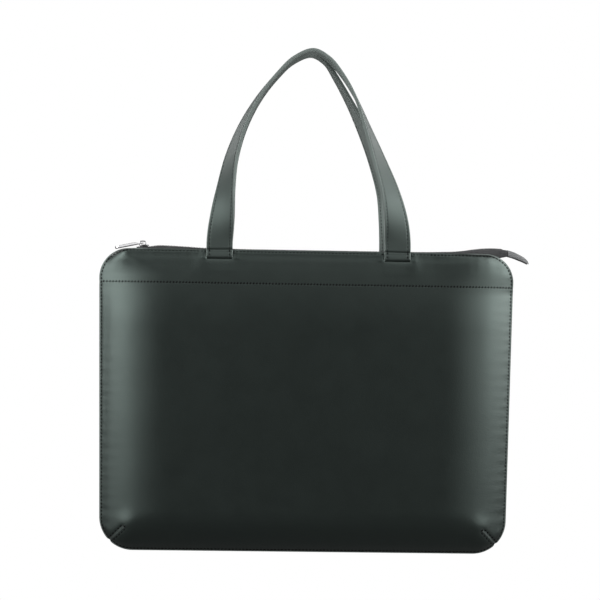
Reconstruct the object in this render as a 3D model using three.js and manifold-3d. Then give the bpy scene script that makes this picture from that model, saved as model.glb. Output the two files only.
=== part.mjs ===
// Slim zip-top laptop bag of black leather with two strap handles, hung by its handles.
// Millimetres, +Z up, the front faces -Y. The origin is the point that the handles hang on.
import * as THREE from 'three';
import { mergeVertices } from 'three/addons/utils/BufferGeometryUtils.js';
import Module from 'manifold-3d';

// Body outline
const TOP_EDGE_Z = -191.4;
const BODY_HEIGHT = 292;
const TOP_WIDTH = 403.6;
const BOTTOM_WIDTH = 394;
const TOP_CORNER = 29;
const BOTTOM_CORNER = 32;
const CORNER_STEPS = 6;

// Leather walls and their dish
const WALL = 1.8;
const GAP = 0.3;
const EDGE_BAND = 1;
const PANEL_DISH = 23;
const MOUTH_DISH = 10;
const SIDE_RUN = 70;
const LEFT_MOUTH_RUN = 10;
const RIGHT_MOUTH_RUN = 62;
const MOUTH_BLEND = 26;
const OPEN_CORNER = 4.5;
const OPEN_FROM = 118;
const OPEN_RUN = 60;
const OPEN_DROP = 2;
const OPEN_CLOSES = 40;
const BOTTOM_RUN = 44;
const TOP_RUN = 75;
const SIDE_FULLNESS = 2.5;
const BOTTOM_FULLNESS = 3;
const SLOPE_MEETING = 4;
const CORNER_CLOSES = 40;
const CLOSING_FROM = 150;
const CLOSING_BLEND = 60;
const YOKE_HEIGHT = 33.5;
const SEAM_TURN_IN = 4;
const TURN_CHAMFER = 0.8;
const PANEL_ROWS = [38, 46, 58, 76, 100, 130, 165, 200, 232];

// Darts at the bottom corners
const DART_LENGTH = 21;
const DART_DENT = 0.3;
const DART_SPREAD = 3;
const DART_PUFF = 1.2;
const DART_PUFF_SPREAD = 10;
const DART_FADE = 3;
const DART_START_FADE = 6;
const DART_END_FADE = 8;
const DART_PUFF_AHEAD = 4;

// Handle straps
const STRAP_WIDTH = 25.4;
const STRAP_THICK = 3.2;
const STRAP_ROUND = 0.9;
const STRAP_SPLIT = 0.4;
const STRAP_APEX_Y = -(STRAP_WIDTH + STRAP_SPLIT) / 2;
const STRAP_REST = 0.35;
const STRAP_EASE_OFF = 0.9;
const SLIT_CLEARANCE = 0.25;
const STEPS_PER_ROW = 3;

// Zip
const TAPE_THICK = 0.8;
const TAPE_CLEARANCE = 0.6;
const TAPE_WAIST = 1.2;
const TAPE_SEAT_GAP = 0.45;
const TAPE_BEND_IN = 0.7;
const TAPE_BEND_UP = 0.5;
const TAPE_POINTS = 5;
const COIL_WIDTH = 2.4;
const COIL_HEIGHT = 2.2;
const COIL_SPLIT = 0.2;
const COIL_PART = 0.95;
const COIL_PARTED_TO = -161;
const COIL_MESHED_FROM = -155;
const COIL_END_X = 190;
const COIL_SIDES = 8;
const TAIL_THICK = 1.6;
const TAIL_POINTS = 9;

// Slider and pull
const SLIDER_X = -158.6;
const SLIDER_LENGTH = 9.4;
const SLIDER_WIDTH = 8.4;
const SLIDER_PLATE = 1;
const SLIDER_FLOOR = -0.5;
const SLIDER_ROOF = 2.6;
const SLIDER_CORNER = 2.4;
const POST_X = -161.8;
const POST_LENGTH = 2.6;
const POST_WIDTH = 1.5;
const PIVOT_X = -160;
const PIVOT_LIFT = 1.6;
const BRIDGE_HALF = 3.3;
const BRIDGE_RISE = 3.9;
const BRIDGE_BAR = 1.1;
const BRIDGE_WIDTH = 2.2;
const BRIDGE_ROUND = 2;
const SUNK = 0.3;
const ARC_STEPS = 5;
const PULL_LENGTH = 27;
const PULL_NECK = 6.2;
const PULL_WIDTH = 7.2;
const PULL_THICK = 1.2;
const PULL_WINDOW_WIDTH = 3.2;
const PULL_WINDOW_END = 4.8;
const PULL_DROOP_DEG = 12;

// Rows of the handle's legs: rise over the bag's top edge, reach from the middle, twist in degrees,
// and how much further in the back strap stands.
const LEFT_LEG = [
  { rise: 8, reach: -85.5, twist: 0, backIn: 0 },
  { rise: 30, reach: -83.5, twist: 22, backIn: 0 },
  { rise: 58, reach: -80.5, twist: 48, backIn: 0 },
  { rise: 90, reach: -75, twist: 64, backIn: 0 },
  { rise: 122, reach: -64, twist: 76, backIn: 0 },
  { rise: 150, reach: -48.5, twist: 84, backIn: 0 },
  { rise: 172, reach: -31, twist: 88, backIn: 0 },
  { rise: 185.5, reach: -16.5, twist: 90, backIn: 0 },
];
const APEX = { rise: 193, reach: 1.5, twist: 90, backIn: 0 };
const RIGHT_LEG = [
  { rise: 186, reach: 16.5, twist: 90, backIn: 1.5 },
  { rise: 171, reach: 30, twist: 88, backIn: 4.6 },
  { rise: 148, reach: 44, twist: 84, backIn: 5.2 },
  { rise: 120, reach: 55.5, twist: 74, backIn: 2.2 },
  { rise: 90, reach: 67, twist: 60, backIn: 0 },
  { rise: 58, reach: 78.5, twist: 44, backIn: 0.5 },
  { rise: 30, reach: 84.5, twist: 20, backIn: 2 },
  { rise: 8, reach: 86.5, twist: 0, backIn: 3 },
];

// Rows of a strap's foot: drop below the top edge, and how far its middle stands off the yoke's face.
const STRAP_ON_FACE = STRAP_THICK / 2 + STRAP_REST;
const STRAP_BEHIND = -(WALL + STRAP_REST + STRAP_THICK / 2);
const FOOT_ROWS = [
  { drop: 1, off: STRAP_ON_FACE },
  { drop: 4, off: STRAP_ON_FACE },
  { drop: 5.4, off: STRAP_ON_FACE - STRAP_EASE_OFF },
  { drop: 7.6, off: -WALL / 2 },
  { drop: 9.9, off: STRAP_BEHIND + STRAP_EASE_OFF },
  { drop: 11.4, off: STRAP_BEHIND },
  { drop: 22, off: STRAP_BEHIND },
];
const SLIT_FROM = 2;
const SLIT_TO = 15;

// Rows of the zip: place along the bag, rise of the coil over the top edge, half width of the tape where
// it arches over (0 where it follows the yoke), and height of the tape's outer edge against the top edge.
const ZIP_ROWS = [
  { x: -167.6, rise: -3.6, spread: 0, edge: -5 },
  { x: -166.2, rise: -1, spread: 0, edge: -5 },
  { x: -164.4, rise: 0.9, spread: 0, edge: -5 },
  { x: -161, rise: 1.1, spread: 0, edge: -5 },
  { x: -155, rise: 1.1, spread: 0, edge: -5 },
  { x: -143, rise: 2.4, spread: 0, edge: -5 },
  { x: -124, rise: 1.8, spread: 0, edge: -5 },
  { x: -95, rise: 0.4, spread: 0, edge: -5 },
  { x: -50, rise: 0, spread: 0, edge: -5 },
  { x: 0, rise: 0, spread: 0, edge: -5 },
  { x: 50, rise: 0, spread: 0, edge: -5 },
  { x: 100, rise: 0, spread: 0, edge: -5 },
  { x: 138, rise: 0.8, spread: 0, edge: -5 },
  { x: 152, rise: 2, spread: 4.6, edge: -5 },
  { x: 162, rise: 3.5, spread: 3.4, edge: -5 },
  { x: 172, rise: 4.6, spread: 3.4, edge: -5 },
  { x: 180, rise: 4.9, spread: 3.4, edge: -4.6 },
  { x: 187, rise: 4.7, spread: 3.4, edge: -3.7 },
  { x: 190, rise: 4.4, spread: 3.9, edge: -3.2 },
  { x: 195, rise: 3.6, spread: 5.4, edge: -2 },
];

// Rows of the end tab beyond the tapes, with the same columns.
const TAIL_ROWS = [
  { x: 195.4, rise: 3.5, spread: 5.5, edge: -2 },
  { x: 201, rise: 1.9, spread: 6.4, edge: -3.4 },
  { x: 207, rise: -0.8, spread: 6.6, edge: -5.6 },
  { x: 212, rise: -3.6, spread: 6.2, edge: -7.6 },
  { x: 215.6, rise: -7, spread: 5.2, edge: -9.4 },
];

const wasm = await Module();
wasm.setup();

const clamp = (value, low, high) => Math.min(Math.max(value, low), high);
const mix = (a, b, t) => a + (b - a) * t;
const ease = (t) => {
  const u = clamp(t, 0, 1);
  return u * u * (3 - 2 * u);
};

// How far a round corner cuts into the side at a distance from the edge that it starts on.
function cornerCut(distance, radius) {
  const inside = clamp(radius - distance, 0, radius);
  return radius - Math.sqrt(radius * radius - inside * inside);
}

// Half the bag's width with square bottom corners, at a drop below its top edge.
function squareWidth(drop) {
  return mix(TOP_WIDTH, BOTTOM_WIDTH, drop / BODY_HEIGHT) / 2 - cornerCut(drop, TOP_CORNER);
}

// Half the bag's width at a drop below its top edge.
function halfWidth(drop) {
  return squareWidth(drop) - cornerCut(BODY_HEIGHT - drop, BOTTOM_CORNER);
}

// Distance in from the lower outline: to the nearer of side and foot, or to the arc of a bottom corner.
function lowerReach(x, drop) {
  const side = squareWidth(drop) - Math.abs(x);
  const end = BODY_HEIGHT - drop;
  if (side >= BOTTOM_CORNER || end >= BOTTOM_CORNER) return Math.min(side, end);
  return BOTTOM_CORNER - Math.hypot(BOTTOM_CORNER - side, BOTTOM_CORNER - end);
}

// A pillow's rise from its sewn edge: 0 within the flat band, 1 past the run.
function pillow(distance, run, fullness) {
  const u = clamp((distance - EDGE_BAND) / run, 0, 1);
  return 1 - Math.pow(1 - u, fullness);
}

// The dart's groove and the puff above its inner end.
function dartRelief(x, drop) {
  const fromSide = BOTTOM_WIDTH / 2 - Math.abs(x) - BOTTOM_CORNER * (1 - Math.SQRT1_2);
  const fromFoot = BODY_HEIGHT - drop - BOTTOM_CORNER * (1 - Math.SQRT1_2);
  const along = (fromSide + fromFoot) * Math.SQRT1_2;
  const across = (fromSide - fromFoot) * Math.SQRT1_2;
  const ending = ease((along - DART_LENGTH + DART_END_FADE / 2) / DART_END_FADE);
  const groove = Math.exp(-((across / DART_SPREAD) ** 2)) * (1 - ending);
  const puffAt = Math.hypot(across, along - DART_LENGTH - DART_PUFF_AHEAD);
  const puff = Math.exp(-((puffAt / DART_PUFF_SPREAD) ** 2));
  return DART_PUFF * puff - DART_DENT * groove * ease(along / DART_START_FADE);
}

// Two slopes that meet in a soft ridge: close to the lower, and the same as one where the other is full.
function lowerOf(a, b) {
  const power = SLOPE_MEETING;
  return a * b / Math.max(a ** power + b ** power - (a * b) ** power, Number.EPSILON) ** (1 / power);
}

// Distance of a wall's inner face from the bag's middle plane. The slopes of sides and foot meet square
// at the darts and close over the round outline. The top right corner stays open for the zip.
function innerDepth(x, drop) {
  const mouthRun = x < 0 ? LEFT_MOUTH_RUN : RIGHT_MOUTH_RUN;
  const run = mix(mouthRun, SIDE_RUN, ease(drop / MOUTH_BLEND));
  const side = pillow(squareWidth(drop) - Math.abs(x), run, SIDE_FULLNESS);
  const foot = pillow(BODY_HEIGHT - drop, BOTTOM_RUN, BOTTOM_FULLNESS);
  const rim = pillow(lowerReach(x, drop), CORNER_CLOSES, BOTTOM_FULLNESS);
  const closing = mix(1, rim, ease((drop - CLOSING_FROM) / CLOSING_BLEND));
  const mouth = mix(MOUTH_DISH / PANEL_DISH, 1, 1 - (1 - clamp(drop / TOP_RUN, 0, 1)) ** 2);
  const rise = lowerOf(lowerOf(side, foot), closing);
  const dish = PANEL_DISH * rise * mouth;
  const relief = dartRelief(x, drop) * Math.min(1, DART_FADE * rise);
  const open = OPEN_CORNER * ease((x - OPEN_FROM) / OPEN_RUN) * (1 - ease((drop - OPEN_DROP) / OPEN_CLOSES));
  return GAP / 2 + Math.max(dish + relief, 0) + open;
}

const outerDepth = (x, drop) => innerDepth(x, drop) + WALL;

// A closed slab between two grids of points: outer(row, column) and inner(row, column).
function slabGeometry(rows, columns, outer, inner) {
  const points = [];
  const faces = [];
  const count = rows * columns;
  for (const grid of [outer, inner]) {
    for (let r = 0; r < rows; r += 1) {
      for (let c = 0; c < columns; c += 1) points.push(...grid(r, c));
    }
  }
  const quad = (a, b, c, d) => faces.push(a, b, c, a, c, d);
  const at = (r, c) => r * columns + c;
  for (let r = 0; r + 1 < rows; r += 1) {
    for (let c = 0; c + 1 < columns; c += 1) {
      quad(at(r, c), at(r + 1, c), at(r + 1, c + 1), at(r, c + 1));
      quad(count + at(r, c), count + at(r, c + 1), count + at(r + 1, c + 1), count + at(r + 1, c));
    }
  }
  for (let r = 0; r + 1 < rows; r += 1) {
    const last = columns - 1;
    quad(at(r, 0), count + at(r, 0), count + at(r + 1, 0), at(r + 1, 0));
    quad(at(r, last), at(r + 1, last), count + at(r + 1, last), count + at(r, last));
  }
  for (let c = 0; c + 1 < columns; c += 1) {
    const last = rows - 1;
    quad(at(0, c), at(0, c + 1), count + at(0, c + 1), count + at(0, c));
    quad(at(last, c), count + at(last, c), count + at(last, c + 1), at(last, c + 1));
  }
  return facedOutwards(points, faces);
}

// A closed tube through rings of points, each ring with the same number of points, with flat ends.
function ringGeometry(rings) {
  const sides = rings[0].length;
  const points = rings.flat(2);
  const faces = [];
  for (let r = 0; r + 1 < rings.length; r += 1) {
    for (let s = 0; s < sides; s += 1) {
      const next = (s + 1) % sides;
      const a = r * sides + s;
      const b = r * sides + next;
      faces.push(a, b, b + sides, a, b + sides, a + sides);
    }
  }
  const end = (rings.length - 1) * sides;
  for (let s = 1; s + 1 < sides; s += 1) {
    faces.push(0, s + 1, s);
    faces.push(end, end + s, end + s + 1);
  }
  return facedOutwards(points, faces);
}

// A geometry whose faces all point out: a body with negative volume is turned inside out.
function facedOutwards(points, faces) {
  const [a, b, c] = [new THREE.Vector3(), new THREE.Vector3(), new THREE.Vector3()];
  let volume = 0;
  for (let f = 0; f < faces.length; f += 3) {
    a.fromArray(points, faces[f] * 3);
    b.fromArray(points, faces[f + 1] * 3);
    c.fromArray(points, faces[f + 2] * 3);
    volume += a.dot(b.cross(c));
  }
  if (volume < 0) {
    for (let f = 0; f < faces.length; f += 3) [faces[f], faces[f + 1]] = [faces[f + 1], faces[f]];
  }
  const geometry = new THREE.BufferGeometry();
  geometry.setAttribute('position', new THREE.Float32BufferAttribute(points, 3));
  geometry.setIndex(faces);
  return geometry;
}

// The mirror image of a geometry in the bag's middle plane.
function mirrored(geometry) {
  const position = geometry.getAttribute('position');
  const points = [];
  for (let i = 0; i < position.count; i += 1) {
    points.push(position.getX(i), -position.getY(i), position.getZ(i));
  }
  return facedOutwards(points, Array.from(geometry.index.array));
}

// A solid for cutting and joining, with its shared corners merged.
function solid(geometry) {
  const plain = geometry.clone();
  for (const name of Object.keys(plain.attributes)) {
    if (name !== 'position') plain.deleteAttribute(name);
  }
  const merged = mergeVertices(plain, 1e-4);
  const mesh = new wasm.Mesh({
    numProp: 3,
    vertProperties: new Float32Array(merged.getAttribute('position').array),
    triVerts: new Uint32Array(merged.index.array),
  });
  return new wasm.Manifold(mesh);
}

function geometryOf(manifold) {
  const mesh = manifold.getMesh();
  const geometry = new THREE.BufferGeometry();
  geometry.setAttribute('position', new THREE.BufferAttribute(new Float32Array(mesh.vertProperties), 3));
  geometry.setIndex(new THREE.BufferAttribute(new Uint32Array(mesh.triVerts), 1));
  return geometry;
}

// Columns across a wall, as shares of its half width: close together at the sewn edges.
const COLUMN_INSETS = [0, 4, 8, 12, 18, 27, 40, 58, 82, 112, 150];
const COLUMNS = [
  ...COLUMN_INSETS.map((inset) => (2 * inset) / TOP_WIDTH - 1),
  0,
  ...COLUMN_INSETS.map((inset) => 1 - (2 * inset) / TOP_WIDTH).reverse(),
];

// Rows round a corner: drops that step evenly along its arc.
function cornerRows(radius) {
  const rows = [];
  for (let i = 0; i <= CORNER_STEPS; i += 1) {
    rows.push(radius * (1 - Math.cos((i / CORNER_STEPS) * Math.PI / 2)));
  }
  return rows;
}

// A front wall through a list of drops. At the seam the leather turns in, away from the face.
function wallGeometry(faceDrops, seamDrop) {
  const seamIsFirst = seamDrop < faceDrops[0];
  const inward = seamIsFirst ? 1 : -1;
  const face = faceDrops.map((drop) => ({ drop, back: drop, turned: false }));
  const fold = { drop: seamDrop, back: seamDrop + inward * (WALL + TURN_CHAMFER), turned: false };
  const flap = { drop: seamDrop, back: seamDrop + inward * WALL, turned: true };
  const rows = seamIsFirst ? [flap, fold, ...face] : [...face, fold, flap];
  const across = (row, column) => COLUMNS[column] * halfWidth(row.drop);
  const flapDepth = (x, drop) => Math.max(innerDepth(x, drop) - SEAM_TURN_IN, GAP / 2);
  const outer = (r, c) => {
    const row = rows[r];
    const x = across(row, c);
    const depth = row.turned ? flapDepth(x, row.drop) : outerDepth(x, row.drop);
    return [x, -depth, TOP_EDGE_Z - row.drop];
  };
  const inner = (r, c) => {
    const row = rows[r];
    const x = across(row, c);
    const depth = row.turned ? flapDepth(x, row.drop) : innerDepth(x, row.back);
    return [x, -depth, TOP_EDGE_Z - row.back];
  };
  return slabGeometry(rows.length, COLUMNS.length, outer, inner);
}

function yokeGeometry() {
  return wallGeometry(cornerRows(TOP_CORNER), YOKE_HEIGHT - GAP / 2);
}

function panelGeometry() {
  const foot = cornerRows(BOTTOM_CORNER).map((height) => BODY_HEIGHT - height).reverse();
  return wallGeometry([...PANEL_ROWS, ...foot], YOKE_HEIGHT + GAP / 2);
}

// The strap's centre line, with its twist, as rows from the left foot over the apex to the right foot.
function strapRows(isBack) {
  const reachOf = ({ reach, backIn }) => (isBack ? reach - Math.sign(reach) * backIn : reach);
  const foot = (leg) => FOOT_ROWS.map(({ drop, off }) => {
    const x = reachOf(leg);
    return { at: new THREE.Vector3(x, -(outerDepth(x, drop) + off), TOP_EDGE_Z - drop), twist: 0 };
  });
  const free = (row) => {
    const x = reachOf(row);
    const y = mix(-(outerDepth(x, 0) + STRAP_ON_FACE), STRAP_APEX_Y, ease(row.rise / APEX.rise));
    return { at: new THREE.Vector3(x, y, TOP_EDGE_Z + row.rise), twist: row.twist };
  };
  return [
    ...foot(LEFT_LEG[0]).reverse(),
    ...[...LEFT_LEG, APEX, ...RIGHT_LEG].map(free),
    ...foot(RIGHT_LEG[RIGHT_LEG.length - 1]),
  ];
}

// The strap's section: a flat bar with its long edges eased.
function strapSection(width, thick) {
  const [w, t] = [width / 2, thick / 2];
  const [we, te] = [w - STRAP_ROUND, t - STRAP_ROUND];
  return [[w, -te], [w, te], [we, t], [-we, t], [-w, te], [-w, -te], [-we, -t], [we, -t]];
}

// A strap swept along its rows: its width turns from across the bag to front-to-back at the apex.
function strapGeometry(rows, width, thick) {
  const curve = new THREE.CatmullRomCurve3(rows.map((row) => row.at), false, 'centripetal');
  const front = new THREE.Vector3(0, -1, 0);
  const steps = (rows.length - 1) * STEPS_PER_ROW;
  const rings = [];
  for (let i = 0; i <= steps; i += 1) {
    const share = i / steps;
    const place = share * (rows.length - 1);
    const low = Math.min(Math.floor(place), rows.length - 2);
    const twist = THREE.MathUtils.degToRad(mix(rows[low].twist, rows[low + 1].twist, place - low));
    const centre = curve.getPoint(share);
    const along = curve.getTangent(share);
    const inside = new THREE.Vector3().crossVectors(front, along).negate().normalize();
    const forward = new THREE.Vector3().crossVectors(along, inside).negate().normalize();
    const broad = inside.clone().multiplyScalar(Math.cos(twist)).addScaledVector(forward, Math.sin(twist));
    const flat = new THREE.Vector3().crossVectors(along, broad).normalize();
    rings.push(strapSection(width, thick).map(([u, v]) => (
      centre.clone().addScaledVector(broad, u).addScaledVector(flat, v).toArray()
    )));
  }
  return ringGeometry(rings);
}

// The two slits of a yoke: the strap's own shape through the wall, with clearance all round.
function cutSlits(yoke, rows) {
  const within = rows.filter((row) => {
    const drop = TOP_EDGE_Z - row.at.z;
    return drop >= SLIT_FROM && drop <= SLIT_TO;
  });
  const half = within.length / 2;
  const clear = 2 * SLIT_CLEARANCE;
  let cut = solid(yoke);
  for (const foot of [within.slice(0, half), within.slice(half)]) {
    cut = cut.subtract(solid(strapGeometry(foot, STRAP_WIDTH + clear, STRAP_THICK + clear)));
  }
  return geometryOf(cut);
}

// How far a coil row stands aside to let the slider's post between the two rows.
const parted = (x) => (
  COIL_PART * (1 - ease((x - COIL_PARTED_TO) / (COIL_MESHED_FROM - COIL_PARTED_TO)))
);

// The front tape's section at a zip row, from its outer edge to the coil. In the mouth it lies along
// the yoke's lining side and bends over at the edge; where it is free it arches over.
function tapeSection({ x, rise, spread, edge }) {
  const seat = [-(COIL_SPLIT + COIL_WIDTH + TAPE_SEAT_GAP + parted(x)), rise];
  if (spread > 0) {
    const section = [];
    for (let i = 0; i < TAPE_POINTS; i += 1) {
      const angle = (i / (TAPE_POINTS - 1)) * Math.PI / 2;
      section.push([mix(seat[0], -spread, Math.cos(angle)), mix(edge, rise, Math.sin(angle))]);
    }
    return section;
  }
  const along = (z) => [-(innerDepth(x, -z) - TAPE_CLEARANCE - TAPE_THICK / 2), z];
  const waist = along(Math.min(rise, 0) - TAPE_WAIST);
  const bend = [mix(waist[0], seat[0], TAPE_BEND_IN), mix(waist[1], seat[1], TAPE_BEND_UP)];
  return [along(edge), along(mix(edge, waist[1], 0.5)), waist, bend, seat];
}

// A ribbon of even thickness through the tape's sections.
function tapeGeometry() {
  const sections = ZIP_ROWS.map(tapeSection);
  const face = (side) => (r, c) => {
    const section = sections[r];
    const [before, after] = [section[Math.max(c - 1, 0)], section[Math.min(c + 1, TAPE_POINTS - 1)]];
    const run = new THREE.Vector2(after[0] - before[0], after[1] - before[1]).normalize();
    const lift = side * TAPE_THICK / 2;
    return [ZIP_ROWS[r].x, section[c][0] - run.y * lift, TOP_EDGE_Z + section[c][1] + run.x * lift];
  };
  return slabGeometry(ZIP_ROWS.length, TAPE_POINTS, face(1), face(-1));
}

// One coil row, an oval bar along the tape's inner edge.
function coilGeometry() {
  const rings = ZIP_ROWS.filter(({ x }) => x <= COIL_END_X).map(({ x, rise }) => {
    const y = -(COIL_SPLIT + COIL_WIDTH / 2 + parted(x));
    const ring = [];
    for (let i = 0; i < COIL_SIDES; i += 1) {
      const angle = ((i + 0.5) / COIL_SIDES) * 2 * Math.PI;
      const dy = (COIL_WIDTH / 2) * Math.cos(angle);
      const dz = (COIL_HEIGHT / 2) * Math.sin(angle);
      ring.push([x, y + dy, TOP_EDGE_Z + rise + dz]);
    }
    return ring;
  });
  return ringGeometry(rings);
}

// The end tab, arched from its front edge over to its back edge.
function tailGeometry() {
  const face = (side) => (r, c) => {
    const { x, rise, spread, edge } = TAIL_ROWS[r];
    const angle = (c / (TAIL_POINTS - 1)) * Math.PI;
    const grow = side * TAIL_THICK / 2;
    const y = -(spread + grow) * Math.cos(angle);
    return [x, y, TOP_EDGE_Z + edge + (rise - edge + grow) * Math.sin(angle)];
  };
  return slabGeometry(TAIL_ROWS.length, TAIL_POINTS, face(1), face(-1));
}

// An outline with rounded corners, centred on the middle of its length and width.
function roundedOutline(length, width, corner) {
  const [l, w] = [length / 2, width / 2];
  const shape = new THREE.Shape();
  shape.moveTo(-l + corner, -w);
  shape.lineTo(l - corner, -w);
  shape.absarc(l - corner, -w + corner, corner, -Math.PI / 2, 0, false);
  shape.absarc(l - corner, w - corner, corner, 0, Math.PI / 2, false);
  shape.absarc(-l + corner, w - corner, corner, Math.PI / 2, Math.PI, false);
  shape.absarc(-l + corner, -w + corner, corner, Math.PI, 1.5 * Math.PI, false);
  return shape;
}

const extruded = (shape, depth) => (
  new THREE.ExtrudeGeometry(shape, { depth, bevelEnabled: false, curveSegments: ARC_STEPS })
);

// The bridge from the side: an arch with round shoulders, its feet sunk into the roof plate.
function archOutline() {
  const inside = [BRIDGE_HALF - 2 * BRIDGE_BAR, BRIDGE_RISE - 2 * BRIDGE_BAR];
  const outside = [BRIDGE_HALF - BRIDGE_ROUND, BRIDGE_RISE - BRIDGE_ROUND];
  const shape = new THREE.Shape();
  shape.moveTo(-BRIDGE_HALF, -SUNK);
  shape.lineTo(BRIDGE_BAR - BRIDGE_HALF, -SUNK);
  shape.absarc(-inside[0], inside[1], BRIDGE_BAR, Math.PI, Math.PI / 2, true);
  shape.absarc(inside[0], inside[1], BRIDGE_BAR, Math.PI / 2, 0, true);
  shape.lineTo(BRIDGE_HALF - BRIDGE_BAR, -SUNK);
  shape.lineTo(BRIDGE_HALF, -SUNK);
  shape.absarc(outside[0], outside[1], BRIDGE_ROUND, 0, Math.PI / 2, false);
  shape.absarc(-outside[0], outside[1], BRIDGE_ROUND, Math.PI / 2, Math.PI, false);
  return shape;
}

// The slider: two plates held apart by the post, and the bridge that the pull swings in.
function sliderGeometry() {
  const plate = () => extruded(roundedOutline(SLIDER_LENGTH, SLIDER_WIDTH, SLIDER_CORNER), SLIDER_PLATE);
  const floor = plate().translate(SLIDER_X, 0, SLIDER_FLOOR - SLIDER_PLATE);
  const roof = plate().translate(SLIDER_X, 0, SLIDER_ROOF);
  const postHeight = SLIDER_ROOF - SLIDER_FLOOR + 2 * SUNK;
  const post = extruded(roundedOutline(POST_LENGTH, POST_WIDTH, POST_WIDTH / 3), postHeight);
  post.translate(POST_X, 0, SLIDER_FLOOR - SUNK);
  const bridge = extruded(archOutline(), BRIDGE_WIDTH).translate(0, 0, -BRIDGE_WIDTH / 2);
  bridge.rotateX(Math.PI / 2).translate(PIVOT_X, 0, SLIDER_ROOF + SLIDER_PLATE);
  const whole = solid(floor).add(solid(roof)).add(solid(post)).add(solid(bridge));
  return geometryOf(whole).translate(0, 0, TOP_EDGE_Z);
}

// The pull, flat with its eye at the origin and its tip along -X: the bar at its end lies in the bridge.
function pullGeometry() {
  const [bar, neck, wide] = [PULL_THICK / 2, PULL_NECK / 2, PULL_WIDTH / 2];
  const shape = new THREE.Shape();
  shape.moveTo(bar, -neck);
  shape.lineTo(bar, neck);
  shape.lineTo(-(PULL_LENGTH - wide), wide);
  shape.absarc(-(PULL_LENGTH - wide), 0, wide, Math.PI / 2, 1.5 * Math.PI, false);
  const window = new THREE.Path();
  window.moveTo(-bar, -PULL_WINDOW_WIDTH / 2);
  window.lineTo(-bar, PULL_WINDOW_WIDTH / 2);
  window.lineTo(-PULL_WINDOW_END, PULL_WINDOW_WIDTH / 2);
  window.lineTo(-PULL_WINDOW_END, -PULL_WINDOW_WIDTH / 2);
  shape.holes.push(window);
  return extruded(shape, PULL_THICK).translate(0, 0, -PULL_THICK / 2);
}

const LEATHER = new THREE.MeshStandardMaterial({ color: 0x262b2b, roughness: 0.5, metalness: 0 });
const STRAP_LEATHER = new THREE.MeshStandardMaterial({ color: 0x2b3030, roughness: 0.5, metalness: 0 });
const TAPE_WEAVE = new THREE.MeshStandardMaterial({ color: 0x1c1e1f, roughness: 0.9, metalness: 0 });
const COIL_NYLON = new THREE.MeshStandardMaterial({ color: 0x17191a, roughness: 0.55, metalness: 0 });
const TAIL_WEAVE = new THREE.MeshStandardMaterial({ color: 0x3c4041, roughness: 0.9, metalness: 0 });
const NICKEL = new THREE.MeshStandardMaterial({ color: 0xc9cbcd, roughness: 0.25, metalness: 1 });

function named(name, geometry, material) {
  const mesh = new THREE.Mesh(geometry, material);
  mesh.name = name;
  return mesh;
}

function walls() {
  const group = new THREE.Group();
  const panel = panelGeometry();
  const frontYoke = cutSlits(yokeGeometry(), strapRows(false));
  const backYoke = cutSlits(yokeGeometry(), strapRows(true));
  group.add(named('front_panel', panel, LEATHER), named('back_panel', mirrored(panel), LEATHER));
  group.add(named('front_yoke', frontYoke, LEATHER), named('back_yoke', mirrored(backYoke), LEATHER));
  return group;
}

function handles() {
  const group = new THREE.Group();
  const front = strapGeometry(strapRows(false), STRAP_WIDTH, STRAP_THICK);
  const back = mirrored(strapGeometry(strapRows(true), STRAP_WIDTH, STRAP_THICK));
  group.add(named('front_handle', front, STRAP_LEATHER), named('back_handle', back, STRAP_LEATHER));
  return group;
}

function zip() {
  const group = new THREE.Group();
  const [tape, coil] = [tapeGeometry(), coilGeometry()];
  group.add(named('zip_tape_front', tape, TAPE_WEAVE), named('zip_tape_back', mirrored(tape), TAPE_WEAVE));
  group.add(named('zip_coil_front', coil, COIL_NYLON), named('zip_coil_back', mirrored(coil), COIL_NYLON));
  group.add(named('zip_tail', tailGeometry(), TAIL_WEAVE));
  group.add(named('zip_slider', sliderGeometry(), NICKEL));
  const pull = named('zip_pull', pullGeometry(), NICKEL);
  pull.position.set(PIVOT_X, 0, TOP_EDGE_Z + SLIDER_ROOF + SLIDER_PLATE + PIVOT_LIFT);
  pull.rotation.y = -THREE.MathUtils.degToRad(PULL_DROOP_DEG);
  group.add(pull);
  return group;
}

const bag = new THREE.Group();
bag.add(walls(), handles(), zip());

export default bag;
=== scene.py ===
"""Looks of a slim zip-top laptop bag in black leather, hung by its two strap handles.

Shapes are worked out in millimetres in the part's own frame: +Z up, the front faces -Y, the zip's tail is
at +X, and "drop" is the distance below the bag's top edge. The meshes are in metres.
"""
import math
from collections import namedtuple

import bpy
import numpy as np
from mathutils import Matrix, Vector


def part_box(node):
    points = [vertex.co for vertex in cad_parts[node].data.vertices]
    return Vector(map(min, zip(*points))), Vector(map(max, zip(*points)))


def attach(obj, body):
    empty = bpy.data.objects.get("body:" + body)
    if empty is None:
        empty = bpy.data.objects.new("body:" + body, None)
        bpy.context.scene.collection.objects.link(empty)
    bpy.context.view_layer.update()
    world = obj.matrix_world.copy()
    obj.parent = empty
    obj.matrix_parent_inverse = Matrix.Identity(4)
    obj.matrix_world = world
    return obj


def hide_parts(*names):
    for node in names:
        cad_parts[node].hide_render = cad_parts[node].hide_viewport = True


bl_info = {
    "name": "Laptop Bag",
    "version": (1, 0, 0),
    "blender": (4, 5, 0),
    "location": "View3D > Sidebar > Laptop Bag",
    "description": "Leather walls, straps, zip and studio of a slim laptop bag",
    "category": "Object",
}

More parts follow.
